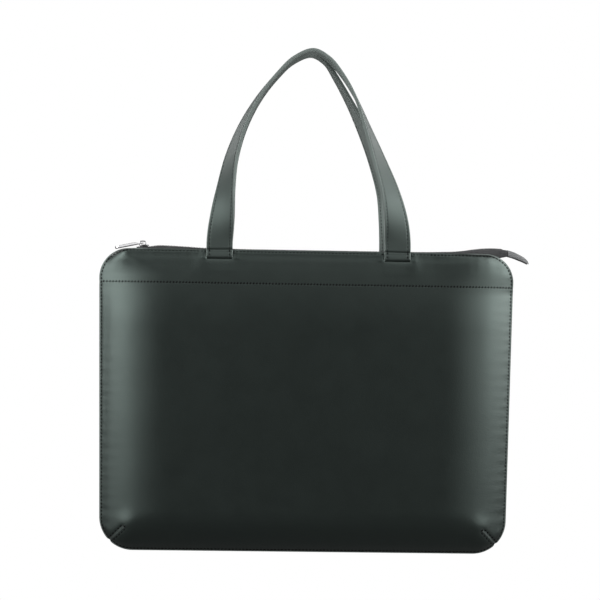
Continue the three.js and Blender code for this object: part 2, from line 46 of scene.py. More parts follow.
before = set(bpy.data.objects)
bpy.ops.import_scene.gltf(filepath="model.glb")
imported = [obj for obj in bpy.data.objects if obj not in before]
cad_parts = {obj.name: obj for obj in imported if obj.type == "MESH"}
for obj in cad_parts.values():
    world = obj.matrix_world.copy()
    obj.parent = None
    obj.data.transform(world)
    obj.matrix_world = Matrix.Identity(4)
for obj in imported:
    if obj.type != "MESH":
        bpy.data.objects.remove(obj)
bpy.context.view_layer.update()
MM = 0.001
SHARP_FROM = math.radians(50)
StitchRow = namedtuple("StitchRow", "pitch length width rise edge_inset strap_inset")

# Walls
TOP_EDGE_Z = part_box("front_yoke")[1].z / MM
BODY_HEIGHT = TOP_EDGE_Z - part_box("front_panel")[0].z / MM
TOP_WIDTH = 403.6
BOTTOM_WIDTH = 394
TOP_CORNER = 29
BOTTOM_CORNER = 32
WALL = 1.8
GAP = 0.3
EDGE_BAND = 1
PANEL_DISH = 23
MOUTH_DISH = 10
SIDE_RUN = 70
LEFT_MOUTH_RUN = 10
RIGHT_MOUTH_RUN = 62
MOUTH_BLEND = 26
OPEN_CORNER = 4.5
OPEN_FROM = 118
OPEN_RUN = 60
OPEN_DROP = 2
OPEN_CLOSES = 40
BOTTOM_RUN = 44
TOP_RUN = 75
SIDE_FULLNESS = 2.5
BOTTOM_FULLNESS = 3
SLOPE_MEETING = 4
CORNER_CLOSES = 40
CLOSING_FROM = 150
CLOSING_BLEND = 60
YOKE_HEIGHT = 33.5
SEAM_TURN_IN = 4
SEAM_FLAP = 0.8
SEAM_GAP = 0.012
SEAM_STITCH_OFF = 1.0
YOKE_SEAM_ROUND = 0.05
PANEL_SEAM_ROUND = 0.06
RIM_ROUND = 0.35
MOUTH_SUNK_TO = 118

# Grid of a wall: where its columns start to lean with the outline, and its steps
LEAN_FROM = 100
FINE_STEP = 1.2
PLAIN_STEP = 2.6

# Finishes: depth of the leathers' grain in metres, the slider's painted shade as a share of the nickel's
# colour, and where most of a noise's values lie
BODY_GRAIN = 0.00008
STRAP_GRAIN = 0.00002
SLIDER_PAINTED_SHADE = 0.45
NOISE_RANGE = (0.3, 0.7)

# Darts, at 45 degrees to the corner
ROOT_HALF = math.sqrt(0.5)
DART_CORNER = BOTTOM_CORNER * (1 - ROOT_HALF)
DART_LENGTH = 21
DART_DENT = 0.3
DART_SPREAD = 3
DART_PUFF = 1.2
DART_PUFF_SPREAD = 10
DART_STITCH_OFF = 2.3

# Fine relief of the walls: height or depth of a feature, then its place and its spread
CHANNEL_DEPTH, CHANNEL_INSET, CHANNEL_SPREAD = 0.1, 2.1, 0.6
PUCKER_HEIGHT, PUCKER_BAND, PUCKER_FADE = 0.11, 3, 7
SLOW_WAVE, SLOW_RIPPLE = 0.16, 0.06
DART_RIDGE, DART_RIDGE_SPREAD = 0.5, 0.55
DART_TRENCH, DART_TRENCH_OFF, DART_TRENCH_SPREAD = 0.55, 1.8, 0.8
LIP_ROUND, LIP_HEIGHT, LIP_OFF, LIP_SPREAD = 0.5, 0.7, 2.4, 2.6
SLIT_PUFF, SLIT_PUFF_OUT, SLIT_PUFF_DROP, SLIT_PUFF_SPREAD = 0.9, 4, 12, 7
STRAP_PRINT, STRAP_PRINT_HALF, STRAP_PRINT_FROM, STRAP_PRINT_TO = 0.2, 11, 10, 20
NOTCH_DEPTH, NOTCH_SPREAD, NOTCH_REACH = 0.8, 1.5, 2.5
TUCK_DEPTH, TUCK_SPREAD, TUCK_REACH = 0.2, 1.2, 2
# Waves of the puckers: radians a millimetre, sway of the phase, the sway's radians a millimetre and its shift
SIDE_PUCKER = (0.61, 1.3, 0.083, 0)
FOOT_PUCKER = (0.57, 1.7, 0.071, 2)
# Edge colour on the walls: how much of it a dart's ridge shows as a painted highlight, and how much less of
# it the handled mouth shows
RIDGE_PAINTED_HIGHLIGHT, RIDGE_HIGHLIGHT_SPREAD = 0.8, 0.45
MOUTH_WEAR, MOUTH_WEAR_DROP, MOUTH_WEAR_HALF = 0.8, 2, 150

# A stitch's rings: place along it and girth, as shares of its length and of its width
STITCH_RINGS = np.array([(-0.44, 0.55), (-0.27, 0.92), (0, 1), (0.27, 0.92), (0.44, 0.55)])
STITCH_SIDES = 6
# Sizes of other stitches as shares of an edge stitch's: along the mouth, along the yoke's seam and on a strap
MOUTH_STITCH = {"width": 0.55, "rise": 0.35}
SEAM_STITCH = {"pitch": 0.9, "length": 0.64, "width": 1.3}
STRAP_STITCH = {"width": 0.6, "rise": 0.6}
SEAM_SLANT = math.radians(-28)
STRAP_STITCH_SUNK = 0.22

# Straps
STRAP_WIDTH = 25.4
STRAP_THICK = 3.2
STRAP_REST = 0.35
STRAP_SKIVE = 1.1
STRAP_CROWN = 0.12
STRAP_EDGE, STRAP_EDGE_POWER = 1.0, 0.6
STRAP_CHANNEL, STRAP_CHANNEL_SPREAD = 0.3, 0.5
STRAP_CREASE, STRAP_CREASE_SPREAD = 1.0, 0.8
STRAP_FACE_POINTS = 45
STRAP_STEPS = 10
STRAP_APEX_Y = -12.9
STRAP_ON_FACE = STRAP_THICK / 2 + STRAP_REST
STRAP_BEHIND = -(WALL + STRAP_REST + STRAP_THICK / 2)
# Share of the paler edge colour on a strap's lining side: painted light on the handles' underside
LINING_PAINTED_LIGHT = 0.7
SLIT_TOP = 3.6
SLIT_FOOT = 9.4
SLIT_LEAN = 2.4
SLIT_HALF = STRAP_WIDTH / 2 - 0.35

# Legs of a strap: rise over the top edge, reach from the middle, twist in degrees, and how much further
# in the back strap stands.
LEFT_LEG = np.array([
    (8, -85.5, 0, 0), (30, -83.5, 22, 0), (58, -80.5, 48, 0), (90, -75, 64, 0), (122, -64, 76, 0),
    (150, -48.5, 84, 0), (172, -31, 88, 0), (185.5, -16.5, 90, 0),
])
APEX = np.array([(193, 1.5, 90, 0)])
RIGHT_LEG = np.array([
    (186, 16.5, 90, 1.5), (171, 30, 88, 4.6), (148, 44, 84, 5.2), (120, 55.5, 74, 2.2), (90, 67, 60, 0),
    (58, 78.5, 44, 0.5), (30, 84.5, 20, 2), (8, 86.5, 0, 3),
])
# Foot of a strap: drop below the top edge, and how far its middle stands off the yoke's face.
FOOT = np.array([
    (1, STRAP_ON_FACE - 0.05), (3, STRAP_ON_FACE - 0.3), (5.2, STRAP_ON_FACE - 0.75),
    (7, STRAP_ON_FACE - 1.4), (8.3, -WALL / 2 - 0.1), (9.8, STRAP_BEHIND + 0.7), (11.4, STRAP_BEHIND),
    (22, STRAP_BEHIND),
])

# Zip: place along the bag, rise of the coil over the top edge, half width of the tape where it is free
# of the mouth (0 inside the mouth), and height of the tape's outer edge.
ZIP = np.array([
    (-167.6, -3.6, 0, -5), (-166.2, -1, 0, -5), (-164.4, 0.9, 0, -5), (-161, 1.1, 0, -5), (-155, 1.1, 0, -5),
    (-143, 2.4, 0, -5), (-124, 1.8, 0, -5), (-95, 0.4, 0, -5), (-50, 0, 0, -5), (0, 0, 0, -5), (50, 0, 0, -5),
    (100, 0, 0, -5), (138, 0.8, 0, -5), (152, 2, 4.6, -5), (162, 3.5, 3.4, -5), (172, 4.6, 3.4, -5),
    (180, 4.9, 3.4, -4.6), (187, 4.7, 3.4, -3.7), (190, 4.4, 3.9, -3.2), (195, 3.6, 5.4, -2),
])
# End tab, with the same columns.
TAIL = np.array([
    (195.4, 3.5, 5.5, -2), (201, 1.9, 6.4, -3.4), (207, -0.8, 6.6, -5.6), (212, -3.6, 6.2, -7.6),
    (215.6, -7, 5.2, -9.4),
])
TAPE_THICK = 0.8
TAPE_CLEARANCE = 0.6
TAPE_WAIST = 1.2
TAPE_SEAT_GAP = 0.45
COIL_WIDTH = 2.4
COIL_HEIGHT = 2.2
COIL_SPLIT = 0.2
COIL_PART, COIL_PART_FROM, COIL_PART_RUN = 0.95, -161, 6
COIL_END_X = 190
COIL_WIRE = 0.42
COIL_STEPS, COIL_SIDES = 12, 6
TAIL_THICK = 1.6
TAIL_ROUND = 1.05

# Slider and pull; a plate's outline has a length, a width and a power between an oval and a rectangle
SLIDER_X = -158.6
SLIDER_OUTLINE = (9.4, 8.4, 0.5)
SLIDER_PLATE, SLIDER_SOFT = 1, 0.38
SLIDER_FLOOR = -0.5
SLIDER_ROOF = 2.6
POST_X = -161.8
POST_OUTLINE, POST_SOFT = (2.6, 1.5, 0.6), 0.1
FLANGE_OUTLINE, FLANGE_THICK, FLANGE_SOFT = (6.0, 0.8, 0.4), 1.1, 0.25
FLANGE_AHEAD, FLANGE_ASIDE = 0.8, 3.75
PIVOT_X = -160
PIVOT_Z = SLIDER_ROOF + SLIDER_PLATE + 1.6
BRIDGE_HALF = 3.3
BRIDGE_RISE = 3.9
BRIDGE_SHOULDER = 1.5
BRIDGE_BAR = 1.1
BRIDGE_WIDTH = 2.2
PULL_LENGTH = 27
PULL_NECK = 6.2
PULL_WIDTH = 7.2
PULL_THICK = 1.2
PULL_SOFT = 0.3
PULL_NICK = 0.35
PULL_SWELL, PULL_SWELL_RUN = 2.2, 3
PULL_WINDOW = (3.2, 4.8)
PULL_WINDOW_POWER = 8
PULL_DROOP = math.radians(12)


# Curves and profiles


def mix(a, b, t):
    """Straight blend from a at t = 0 to b at t = 1."""
    return a + (b - a) * t


def ease(t):
    """Smooth step: 0 up to t = 0, 1 from t = 1, level at both ends."""
    u = np.clip(t, 0, 1)
    return u * u * (3 - 2 * u)


def bell(distance, spread):
    """Bell curve: 1 at distance 0, about a third at distance spread."""
    return np.exp(-((distance / spread) ** 2))


def corner_cut(distance, radius):
    """How far a round corner cuts into a side, at a distance from the edge that the corner starts on."""
    inside = np.clip(radius - distance, 0, radius)
    return radius - np.sqrt(radius * radius - inside * inside)


def shouldered(distance, radius):
    """Drop of a rounded rim: a quarter circle that falls by its radius at distance 0, and is level past the
    radius."""
    inside = np.clip(1 - distance / radius, 0, 1)
    return radius * (1 - np.sqrt(1 - inside * inside))


def swaying(place, number, sway, sway_number, shift):
    """A sine wave whose phase sways: the sine of number times place, plus sway times a slower sine."""
    return np.sin(place * number + sway * np.sin(place * sway_number + shift))


def through_rows(places, rows, at):
    """Smooth curve through table rows: cubic pieces whose slope at a row is the harmonic mean of its two
    neighbouring slopes, or level where they turn round, so it never swings past a row."""
    run = np.diff(places)[:, None]
    slope = np.diff(rows, axis=0) / run
    before, after = slope[:-1], slope[1:]
    same_way = before * after > 0
    inner = np.where(same_way, 2 * before * after / np.where(same_way, before + after, 1), 0)
    tangent = np.concatenate([slope[:1], inner, slope[-1:]])
    k = np.clip(np.searchsorted(places, at, side="right") - 1, 0, len(places) - 2)
    t = ((at - places[k]) / run[k, 0])[:, None]
    start, end = rows[k], rows[k + 1]
    rise_in, rise_out = tangent[k] * run[k], tangent[k + 1] * run[k]
    return (start * (1 + 2 * t) * (1 - t) ** 2 + rise_in * t * (1 - t) ** 2
            + end * t * t * (3 - 2 * t) + rise_out * t * t * (t - 1))


def along_points(points, steps):
    """Centripetal spline through points: each piece is a cubic whose end slopes weigh the neighbouring chords
    by the square root of their lengths. Gives steps samples for each piece."""
    ends = np.concatenate([2 * points[:1] - points[1:2], points, 2 * points[-1:] - points[-2:-1]])
    p0, p1, p2, p3 = ends[:-3], ends[1:-2], ends[2:-1], ends[3:]
    d0, d1, d2 = (np.sqrt(np.linalg.norm(b - a, axis=1))[:, None] for a, b in ((p0, p1), (p1, p2), (p2, p3)))
    t1 = ((p1 - p0) / d0 - (p2 - p0) / (d0 + d1) + (p2 - p1) / d1) * d1
    t2 = ((p2 - p1) / d1 - (p3 - p1) / (d1 + d2) + (p3 - p2) / d2) * d1
    t = (np.arange(steps) / steps)[None, :, None]
    a, b = -3 * p1 + 3 * p2 - 2 * t1 - t2, 2 * p1 - 2 * p2 + t1 + t2
    pieces = p1[:, None] + t1[:, None] * t + a[:, None] * t ** 2 + b[:, None] * t ** 3
    return np.concatenate([pieces.reshape(-1, 3), points[-1:]])


def evenly(rows, pitch):
    """Rows at an even pitch along a polyline, measured over their first three columns or fewer."""
    length = np.concatenate([[0], np.cumsum(np.linalg.norm(np.diff(rows[:, :3], axis=0), axis=1))])
    count = max(int(length[-1] / pitch), 2)
    at = (np.arange(count) + 0.5) * length[-1] / count
    return np.stack([np.interp(at, length, column) for column in rows.T], axis=1)


def unit(vectors):
    """Vectors scaled to length 1."""
    return vectors / np.maximum(np.linalg.norm(vectors, axis=-1, keepdims=True), 1e-12)


# Meshes


def into_mesh(name, points, faces, marks=None):
    """A mesh object from points in millimetres and a list of face arrays, each of one face size. Faces that
    enclose a negative volume are turned over. Marks are named numbers for each point, for the materials."""
    corners = [np.asarray(block) for block in faces if len(block)]
    volume = 0.0
    for block in corners:
        for k in range(1, block.shape[1] - 1):
            a, b, c = points[block[:, 0]], points[block[:, k]], points[block[:, k + 1]]
            volume += np.einsum("ij,ij->", a, np.cross(b, c))
    if volume < 0:
        corners = [block[:, ::-1] for block in corners]
    sizes = np.concatenate([np.full(len(block), block.shape[1]) for block in corners])
    loops = np.concatenate([block.ravel() for block in corners])
    mesh = bpy.data.meshes.new(name)
    mesh.vertices.add(len(points))
    mesh.vertices.foreach_set("co", (points * MM).astype(np.float32).ravel())
    mesh.loops.add(len(loops))
    mesh.loops.foreach_set("vertex_index", loops.astype(np.int32))
    mesh.polygons.add(len(sizes))
    mesh.polygons.foreach_set("loop_start", np.concatenate([[0], np.cumsum(sizes)[:-1]]).astype(np.int32))
    mesh.update(calc_edges=True)
    mesh.validate()
    mesh.polygons.foreach_set("use_smooth", np.ones(len(mesh.polygons), bool))
    mesh.set_sharp_from_angle(angle=SHARP_FROM)
    for mark, values in (marks or {}).items():
        layer = mesh.attributes.new(mark, "FLOAT", "POINT")
        layer.data.foreach_set("value", np.asarray(values, np.float32).ravel())
    made = bpy.data.objects.new(name, mesh)
    bpy.context.scene.collection.objects.link(made)
    return made


def dressed(name, solid, body, slot, material, *nodes):
    """Makes a solid a piece on its body with its finish, and lets it stand for its nodes."""
    piece = into_mesh(name, *solid)
    piece.data.materials.append(material)
    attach(piece, body)
    if nodes:
        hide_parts(*nodes)


def grid_index(rows, columns):
    """Point numbers of a grid, row by row."""
    return np.arange(rows * columns).reshape(rows, columns)


def slab(outer, inner, kept=None):
    """Points and faces of a closed slab between two grids of points. Cells that aren't kept are left open on
    both faces, and walls run from one face to the other round every open edge."""
    rows, columns = outer.shape[:2]
    top = grid_index(rows, columns)
    low = top + rows * columns
    if kept is None:
        kept = np.ones((rows - 1, columns - 1), bool)
    a, b, c, d = top[:-1, :-1][kept], top[1:, :-1][kept], top[1:, 1:][kept], top[:-1, 1:][kept]
    faces = [np.stack([a, b, c, d], 1), np.stack([a, d, c, b], 1) + rows * columns]
    padded = np.pad(kept, 1).astype(int)
    down_edges = padded[1:-1, 1:] - padded[1:-1, :-1]
    across_edges = padded[1:, 1:-1] - padded[:-1, 1:-1]
    for step, down, across, order in ((down_edges, 1, 0, (0, 1, 2, 3)), (across_edges, 0, 1, (0, 3, 2, 1))):
        for sign in (1, -1):
            r, k = np.nonzero(step == sign)
            s, m = r + down, k + across
            walls = np.stack([top[r, k], low[r, k], low[s, m], top[s, m]], 1)
            faces.append(walls[:, order][:, ::sign])
    return np.concatenate([outer.reshape(-1, 3), inner.reshape(-1, 3)]), faces


def ring_quads(index):
    """Four-sided faces between rings of point numbers, each ring closed round."""
    after = np.roll(index, -1, axis=1)
    return np.stack([index[:-1], after[:-1], after[1:], index[1:]], -1).reshape(-1, 4)


def tube(rings, looped=False):
    """Points and faces of a tube through rings of points: closed by its end faces, or looped end to start."""
    index = grid_index(*rings.shape[:2])
    if looped:
        return rings.reshape(-1, 3), [ring_quads(np.concatenate([index, index[:1]]))]
    return rings.reshape(-1, 3), [ring_quads(index), index[:1, ::-1], index[-1:]]


def joined(*solids):
    """Several solids' points and faces as one."""
    points, faces, start = [], [], 0
    for solid_points, solid_faces in solids:
        points.append(solid_points)
        faces.extend(block + start for block in solid_faces if len(block))
        start += len(solid_points)
    return np.concatenate(points), faces


def sided(solid, is_back):
    """A front solid as it is, or its mirror image in the bag's middle plane for the back."""
    if not is_back:
        return solid
    points, faces, *marks = solid
    return points * (1, -1, 1), [block[:, ::-1] for block in faces], *marks


# Leather walls


def square_width(drop):
    """Half the bag's width with square bottom corners: a straight taper, less the cut of the round top
    corners."""
    return mix(TOP_WIDTH, BOTTOM_WIDTH, drop / BODY_HEIGHT) / 2 - corner_cut(drop, TOP_CORNER)


def half_width(drop):
    """Half the bag's width, less the cut of all its round corners."""
    return square_width(drop) - corner_cut(BODY_HEIGHT - drop, BOTTOM_CORNER)


def edge_distance(x, drop):
    """Distance in from the bag's outline: to the nearest side, or to the arc of a round corner."""
    side = mix(TOP_WIDTH, BOTTOM_WIDTH, drop / BODY_HEIGHT) / 2 - np.abs(x)

    def rounded(end, radius):
        arc = radius - np.hypot(radius - side, radius - end)
        return np.where((side < radius) & (end < radius), arc, np.minimum(side, end))

    return np.minimum(rounded(BODY_HEIGHT - drop, BOTTOM_CORNER), rounded(drop, TOP_CORNER))


def dart_place(x, drop):
    """Place along the dart, from the corner's arc inwards, and across it."""
    from_side = BOTTOM_WIDTH / 2 - np.abs(x) - DART_CORNER
    from_foot = BODY_HEIGHT - drop - DART_CORNER
    return (from_side + from_foot) * ROOT_HALF, (from_side - from_foot) * ROOT_HALF


def pinched(along):
    """Share of a dart's pinch at a place along it: full from just inside the corner's arc to its end."""
    return ease(along / 2) * (1 - ease((along - DART_LENGTH + 1) / 3))


def pillow(distance, run, fullness):
    """A pillow's rise from its sewn edge: 0 within the flat band, then a power curve up to 1 at the run's
    end."""
    u = np.clip((distance - EDGE_BAND) / run, 0, 1)
    return 1 - (1 - u) ** fullness


def lower_of(a, b):
    """Two slopes that meet in a soft ridge: a b / (a^p + b^p - (a b)^p)^(1/p), which is close to the lower
    one and exactly one where the other is full."""
    power = SLOPE_MEETING
    return a * b / np.maximum(a ** power + b ** power - (a * b) ** power, 1e-12) ** (1 / power)


def wall_depth(x, drop):
    """Distance of a wall's inner face from the middle plane: the dish is the lower of the pillows from the
    sides and the foot, which meet square at the darts and close over the round outline, times the mouth's
    flattening, with the dart's groove and the puff above its end. The top right corner stays open for the
    zip."""
    run = mix(np.where(x < 0, LEFT_MOUTH_RUN, RIGHT_MOUTH_RUN), SIDE_RUN, ease(drop / MOUTH_BLEND))
    side = pillow(square_width(drop) - np.abs(x), run, SIDE_FULLNESS)
    foot = pillow(BODY_HEIGHT - drop, BOTTOM_RUN, BOTTOM_FULLNESS)
    rim = pillow(edge_distance(x, drop), CORNER_CLOSES, BOTTOM_FULLNESS)
    closing = mix(1, rim, ease((drop - CLOSING_FROM) / CLOSING_BLEND))
    mouth = mix(MOUTH_DISH / PANEL_DISH, 1, 1 - (1 - np.clip(drop / TOP_RUN, 0, 1)) ** 2)
    rise = lower_of(lower_of(side, foot), closing)
    along, across = dart_place(x, drop)
    groove = bell(across, DART_SPREAD) * (1 - ease((along - DART_LENGTH + 4) / 8)) * ease(along / 6)
    puff = bell(np.hypot(across, along - DART_LENGTH - 4), DART_PUFF_SPREAD)
    relief = (DART_PUFF * puff - DART_DENT * groove) * np.minimum(1, 3 * rise)
    opened = OPEN_CORNER * ease((x - OPEN_FROM) / OPEN_RUN) * (1 - ease((drop - OPEN_DROP) / OPEN_CLOSES))
    return GAP / 2 + np.maximum(PANEL_DISH * rise * mouth + relief, 0) + opened


def nearest(x, reaches):
    """Distance across to the nearest of some reaches."""
    return np.min([np.abs(x - reach) for reach in reaches], axis=0)


def edge_relief(x, drop, edge):
    """Relief along the outline: a rounded rim, a sewn channel, and puckers that die away from the edge."""
    channel = CHANNEL_DEPTH * bell(edge - CHANNEL_INSET, CHANNEL_SPREAD)
    near_edge = np.exp(-np.maximum(edge - PUCKER_BAND, 0) / PUCKER_FADE) * ease(edge / 4)
    waves = swaying(drop, *SIDE_PUCKER) * ease(edge / PUCKER_BAND) + swaying(x, *FOOT_PUCKER)
    return PUCKER_HEIGHT * near_edge * waves - shouldered(edge, RIM_ROUND) - channel


def seam_relief(drop):
    """Rounded edges of the yoke and of the panel where they meet in the seam."""
    below = drop - YOKE_HEIGHT
    radius = np.where(below > 0, PANEL_SEAM_ROUND, YOKE_SEAM_ROUND)
    return -shouldered(np.abs(below) - SEAM_GAP / 2, radius)


def dart_relief(x, drop):
    """A dart's pinched line: a sharp ridge with a trench on each side, where the stitches are."""
    along, across = dart_place(x, drop)
    ridge = DART_RIDGE * bell(across, DART_RIDGE_SPREAD)
    trench = DART_TRENCH * bell(np.abs(across) - DART_TRENCH_OFF, DART_TRENCH_SPREAD)
    return pinched(along) * (ridge - trench)


def slow_waves(x, drop, edge):
    """Slow unevenness: a product of long sines across and down, and one of shorter, slanting sines, both
    fading towards the edge. The factors of x and drop are radians a millimetre."""
    wave = np.sin(x * 0.031 + 0.7) * np.sin(drop * 0.043 + 0.4 * np.sin(x * 0.019))
    ripple = np.sin(x * 0.083 + drop * 0.047) * np.sin(drop * 0.071 - x * 0.023)
    return (SLOW_WAVE * wave + SLOW_RIPPLE * ripple) * ease((edge - 8) / 40)


def slit_relief(x, drop, reaches):
    """Relief at the slits: rounded lips that stand up above the slit's foot, a puff beyond the outer end, and
    the strap's faint print below."""
    aside = nearest(x, reaches)
    above_below = np.maximum(SLIT_TOP - drop, drop - SLIT_FOOT)
    away = np.hypot(np.maximum(aside - SLIT_HALF, 0), np.maximum(above_below, 0))
    beside = ease(drop / 2) * (1 - ease((drop - SLIT_FOOT + 1) / 2))
    lips = LIP_HEIGHT * bell(away - LIP_OFF, LIP_SPREAD) * beside - shouldered(away, LIP_ROUND)
    ends = [reach + math.copysign(SLIT_HALF + SLIT_PUFF_OUT, reach) for reach in reaches]
    outer_end = np.hypot(nearest(x, ends), (drop - SLIT_PUFF_DROP) * 0.75)
    below = ease((drop - STRAP_PRINT_FROM) / 4) * (1 - ease((drop - STRAP_PRINT_TO) / 6))
    printed = STRAP_PRINT * (1 - ease((aside - STRAP_PRINT_HALF) / 4)) * below
    return lips + SLIT_PUFF * bell(outer_end, SLIT_PUFF_SPREAD) + printed


def leather_relief(x, drop, reaches):
    """Fine relief of the outer face: along its edges, at the seam, at the darts, over the panel and at the
    slits."""
    edge = edge_distance(x, drop)
    return (edge_relief(x, drop, edge) + seam_relief(drop) + dart_relief(x, drop) + slow_waves(x, drop, edge)
            + slit_relief(x, drop, reaches))


def face_point(x, drop, reaches):
    """A point on the front wall's outer face."""
    depth = wall_depth(x, drop) + WALL + leather_relief(x, drop, reaches)
    return np.stack(np.broadcast_arrays(x, -depth, TOP_EDGE_Z - drop), axis=-1)


def face_normal(x, drop, reaches, step=0.6):
    """The outer face's normal: the cross product of its slopes across and down, over a short step."""
    across = face_point(x + step, drop, reaches) - face_point(x - step, drop, reaches)
    down = face_point(x, drop + step, reaches) - face_point(x, drop - step, reaches)
    return unit(np.cross(across, -down))


def growing(last, count, power=1.5):
    """Places from 0 to last that stand close together at 0 and spread out as a power of their number."""
    return last * (np.arange(count + 1) / count) ** power


def arc_rows(radius, count):
    """Drops that step evenly along a quarter circle."""
    return radius * (1 - np.cos(np.linspace(0, math.pi / 2, count + 1)))


def wall_columns(reaches):
    """Places across the full width: growing steps in from both edges, then even ones, and the slits' ends."""
    half = TOP_WIDTH / 2
    inset = np.concatenate([growing(12, 18), np.arange(13, 46, FINE_STEP), np.arange(47.5, 100, PLAIN_STEP)])
    ends = np.array([reach + side * SLIT_HALF for reach in reaches for side in (-1, 1)])
    middle = np.arange(-99, 99.5, PLAIN_STEP)
    middle = middle[nearest(middle, ends) > 0.9]
    return np.unique(np.concatenate([inset - half, half - inset, middle, ends]))


def wall_place(column, rows):
    """Places (x, drop) of a wall's grid: the outer columns lean in with the outline, and the edge is drawn in
    a little at the darts and at the seam."""
    half = TOP_WIDTH / 2
    lean = (half - half_width(rows)[:, None]) * ease((np.abs(column) - LEAN_FROM) / (half - LEAN_FROM))
    x = column - np.sign(column) * lean
    drop = np.broadcast_to(rows[:, None], x.shape)
    along, across = dart_place(x, drop)
    notch = NOTCH_DEPTH * bell(across, NOTCH_SPREAD) * bell(along, NOTCH_REACH)
    tuck = TUCK_DEPTH * bell(drop - YOKE_HEIGHT, TUCK_SPREAD) * bell(edge_distance(x, drop), TUCK_REACH)
    return x - np.sign(x) * (notch + tuck), drop - notch


def edge_wear_and_ridge_highlight(x, drop):
    """Share of the edge colour on the outer face: all of it on the raw edge, less along the handled mouth,
    and most of it on a dart's ridge as a painted highlight."""
    along, across = dart_place(x, drop)
    # Painted highlight: a dart's ridge gets most of the paler edge colour.
    ridge = RIDGE_PAINTED_HIGHLIGHT * bell(across, RIDGE_HIGHLIGHT_SPREAD) * pinched(along)
    handled = (1 - ease((drop - MOUTH_WEAR_DROP) / 4)) * (1 - ease((np.abs(x) - MOUTH_WEAR_HALF) / 15))
    raw = 1 - ease((edge_distance(x, drop) - 0.5) / 0.8)
    return np.maximum(raw * (1 - MOUTH_WEAR * handled), ridge)


def wall(face_drops, seam_is_first, reaches, slit=False):
    """A front wall as a closed slab over a grid of columns and drops. At the seam the leather turns in. A
    yoke's slits are left open and lean down behind the face. The cut mark is the share of the edge colour:
    the raw edge's own colour, and a painted highlight on the darts' ridges."""
    column = wall_columns(reaches)
    order = 1 if seam_is_first else -1
    turned = np.full(2, YOKE_HEIGHT + order * SEAM_GAP / 2)
    behind = turned + order * np.array([WALL, WALL + SEAM_FLAP])[::order]
    drop, back = (np.concatenate([rows, face_drops][::order]) for rows in (turned, behind))
    flap = (np.arange(len(drop)) == (0 if seam_is_first else len(drop) - 1))[:, None]
    x, down = wall_place(column, drop)
    x_back, down_back = wall_place(column, back)
    kept = None
    if slit:
        lean = 1 - ease((nearest(x_back, reaches) - SLIT_HALF) / 4)
        lean = lean * ease(down_back / 3) * (1 - ease((down_back - 11) / 8))
        down_back = down_back + SLIT_LEAN * lean
        across, middle = (column[1:] + column[:-1]) / 2, (drop[1:] + drop[:-1]) / 2
        open_down = (middle > SLIT_TOP) & (middle < SLIT_FOOT)
        kept = ~(open_down[:, None] & (nearest(across, reaches) < SLIT_HALF))
    inside = wall_depth(x, down)
    turned_in = np.maximum(inside - SEAM_TURN_IN, GAP / 2)
    depth = np.where(flap, turned_in, inside + WALL + leather_relief(x, down, reaches))
    depth_back = np.where(flap, turned_in, wall_depth(x_back, down_back))
    outer = np.stack([x, -depth, TOP_EDGE_Z - down], -1)
    inner = np.stack([x_back, -depth_back, TOP_EDGE_Z - down_back], -1)
    cut_back = 1 - ease(edge_distance(x_back, down_back) / 1.2)
    return *slab(outer, inner, kept), {"cut": np.concatenate([edge_wear_and_ridge_highlight(x, down).ravel(), cut_back.ravel()])}


def yoke_wall(reaches):
    """The yoke, from the top edge to the seam."""
    slit_ends = np.array([SLIT_TOP, SLIT_FOOT])
    corner = arc_rows(TOP_CORNER, 34)
    corner = corner[nearest(corner, slit_ends) > 0.25]
    near_seam = YOKE_HEIGHT - SEAM_GAP / 2 - growing(4, 9)[:0:-1]
    return wall(np.unique(np.concatenate([corner, slit_ends, near_seam])), False, reaches, slit=True)


def panel_wall(reaches):
    """The panel, from the seam to the foot."""
    near_seam = YOKE_HEIGHT + SEAM_GAP / 2 + growing(8, 11)[1:]
    plain = np.arange(YOKE_HEIGHT + 10.5, BODY_HEIGHT - 46, PLAIN_STEP)
    above_corner = np.arange(BODY_HEIGHT - 45, BODY_HEIGHT - BOTTOM_CORNER - 0.5, PLAIN_STEP / 2)
    corner = BODY_HEIGHT - arc_rows(BOTTOM_CORNER, 42)[::-1]
    return wall(np.concatenate([near_seam, plain, above_corner, corner]), True, reaches)


# Stitches


def stitches(centres, along, out, size):
    """Many stitches as one solid: each is a rounded bar of rings with a pole point at each end, stretched
    along the seam and flattened on the leather."""
    turn = np.linspace(0, 2 * math.pi, STITCH_SIDES, endpoint=False)
    place, girth = STITCH_RINGS[:, 0], STITCH_RINGS[:, 1] / 2
    rings = np.stack([np.repeat(place, STITCH_SIDES), np.outer(girth, np.cos(turn)).ravel(),
                      np.outer(girth, np.sin(turn)).ravel()], 1)
    bar = np.concatenate([rings, [(-0.5, 0, 0), (0.5, 0, 0)]])[None]
    side = unit(np.cross(out, along))
    points = (centres[:, None] + bar[..., :1] * size.length * along[:, None]
              + bar[..., 1:2] * size.width * side[:, None] + bar[..., 2:] * size.rise * out[:, None])
    index = grid_index(len(place), STITCH_SIDES)
    after = np.roll(index, -1, axis=1)
    first, last = np.full((2, STITCH_SIDES), [[len(rings)], [len(rings) + 1]])
    caps = np.concatenate([np.stack(cap, 1) for cap in ((after[0], index[0], first),
                                                        (index[-1], after[-1], last))])
    start = (np.arange(len(centres)) * bar.shape[1])[:, None, None]
    quads = (ring_quads(index)[None] + start).reshape(-1, 4)
    return points.reshape(-1, 3), [quads, (caps[None] + start).reshape(-1, 3)]


def resized(size, shares):
    """Stitch sizes with some of them taken times a share."""
    return size._replace(**{field: getattr(size, field) * share for field, share in shares.items()})


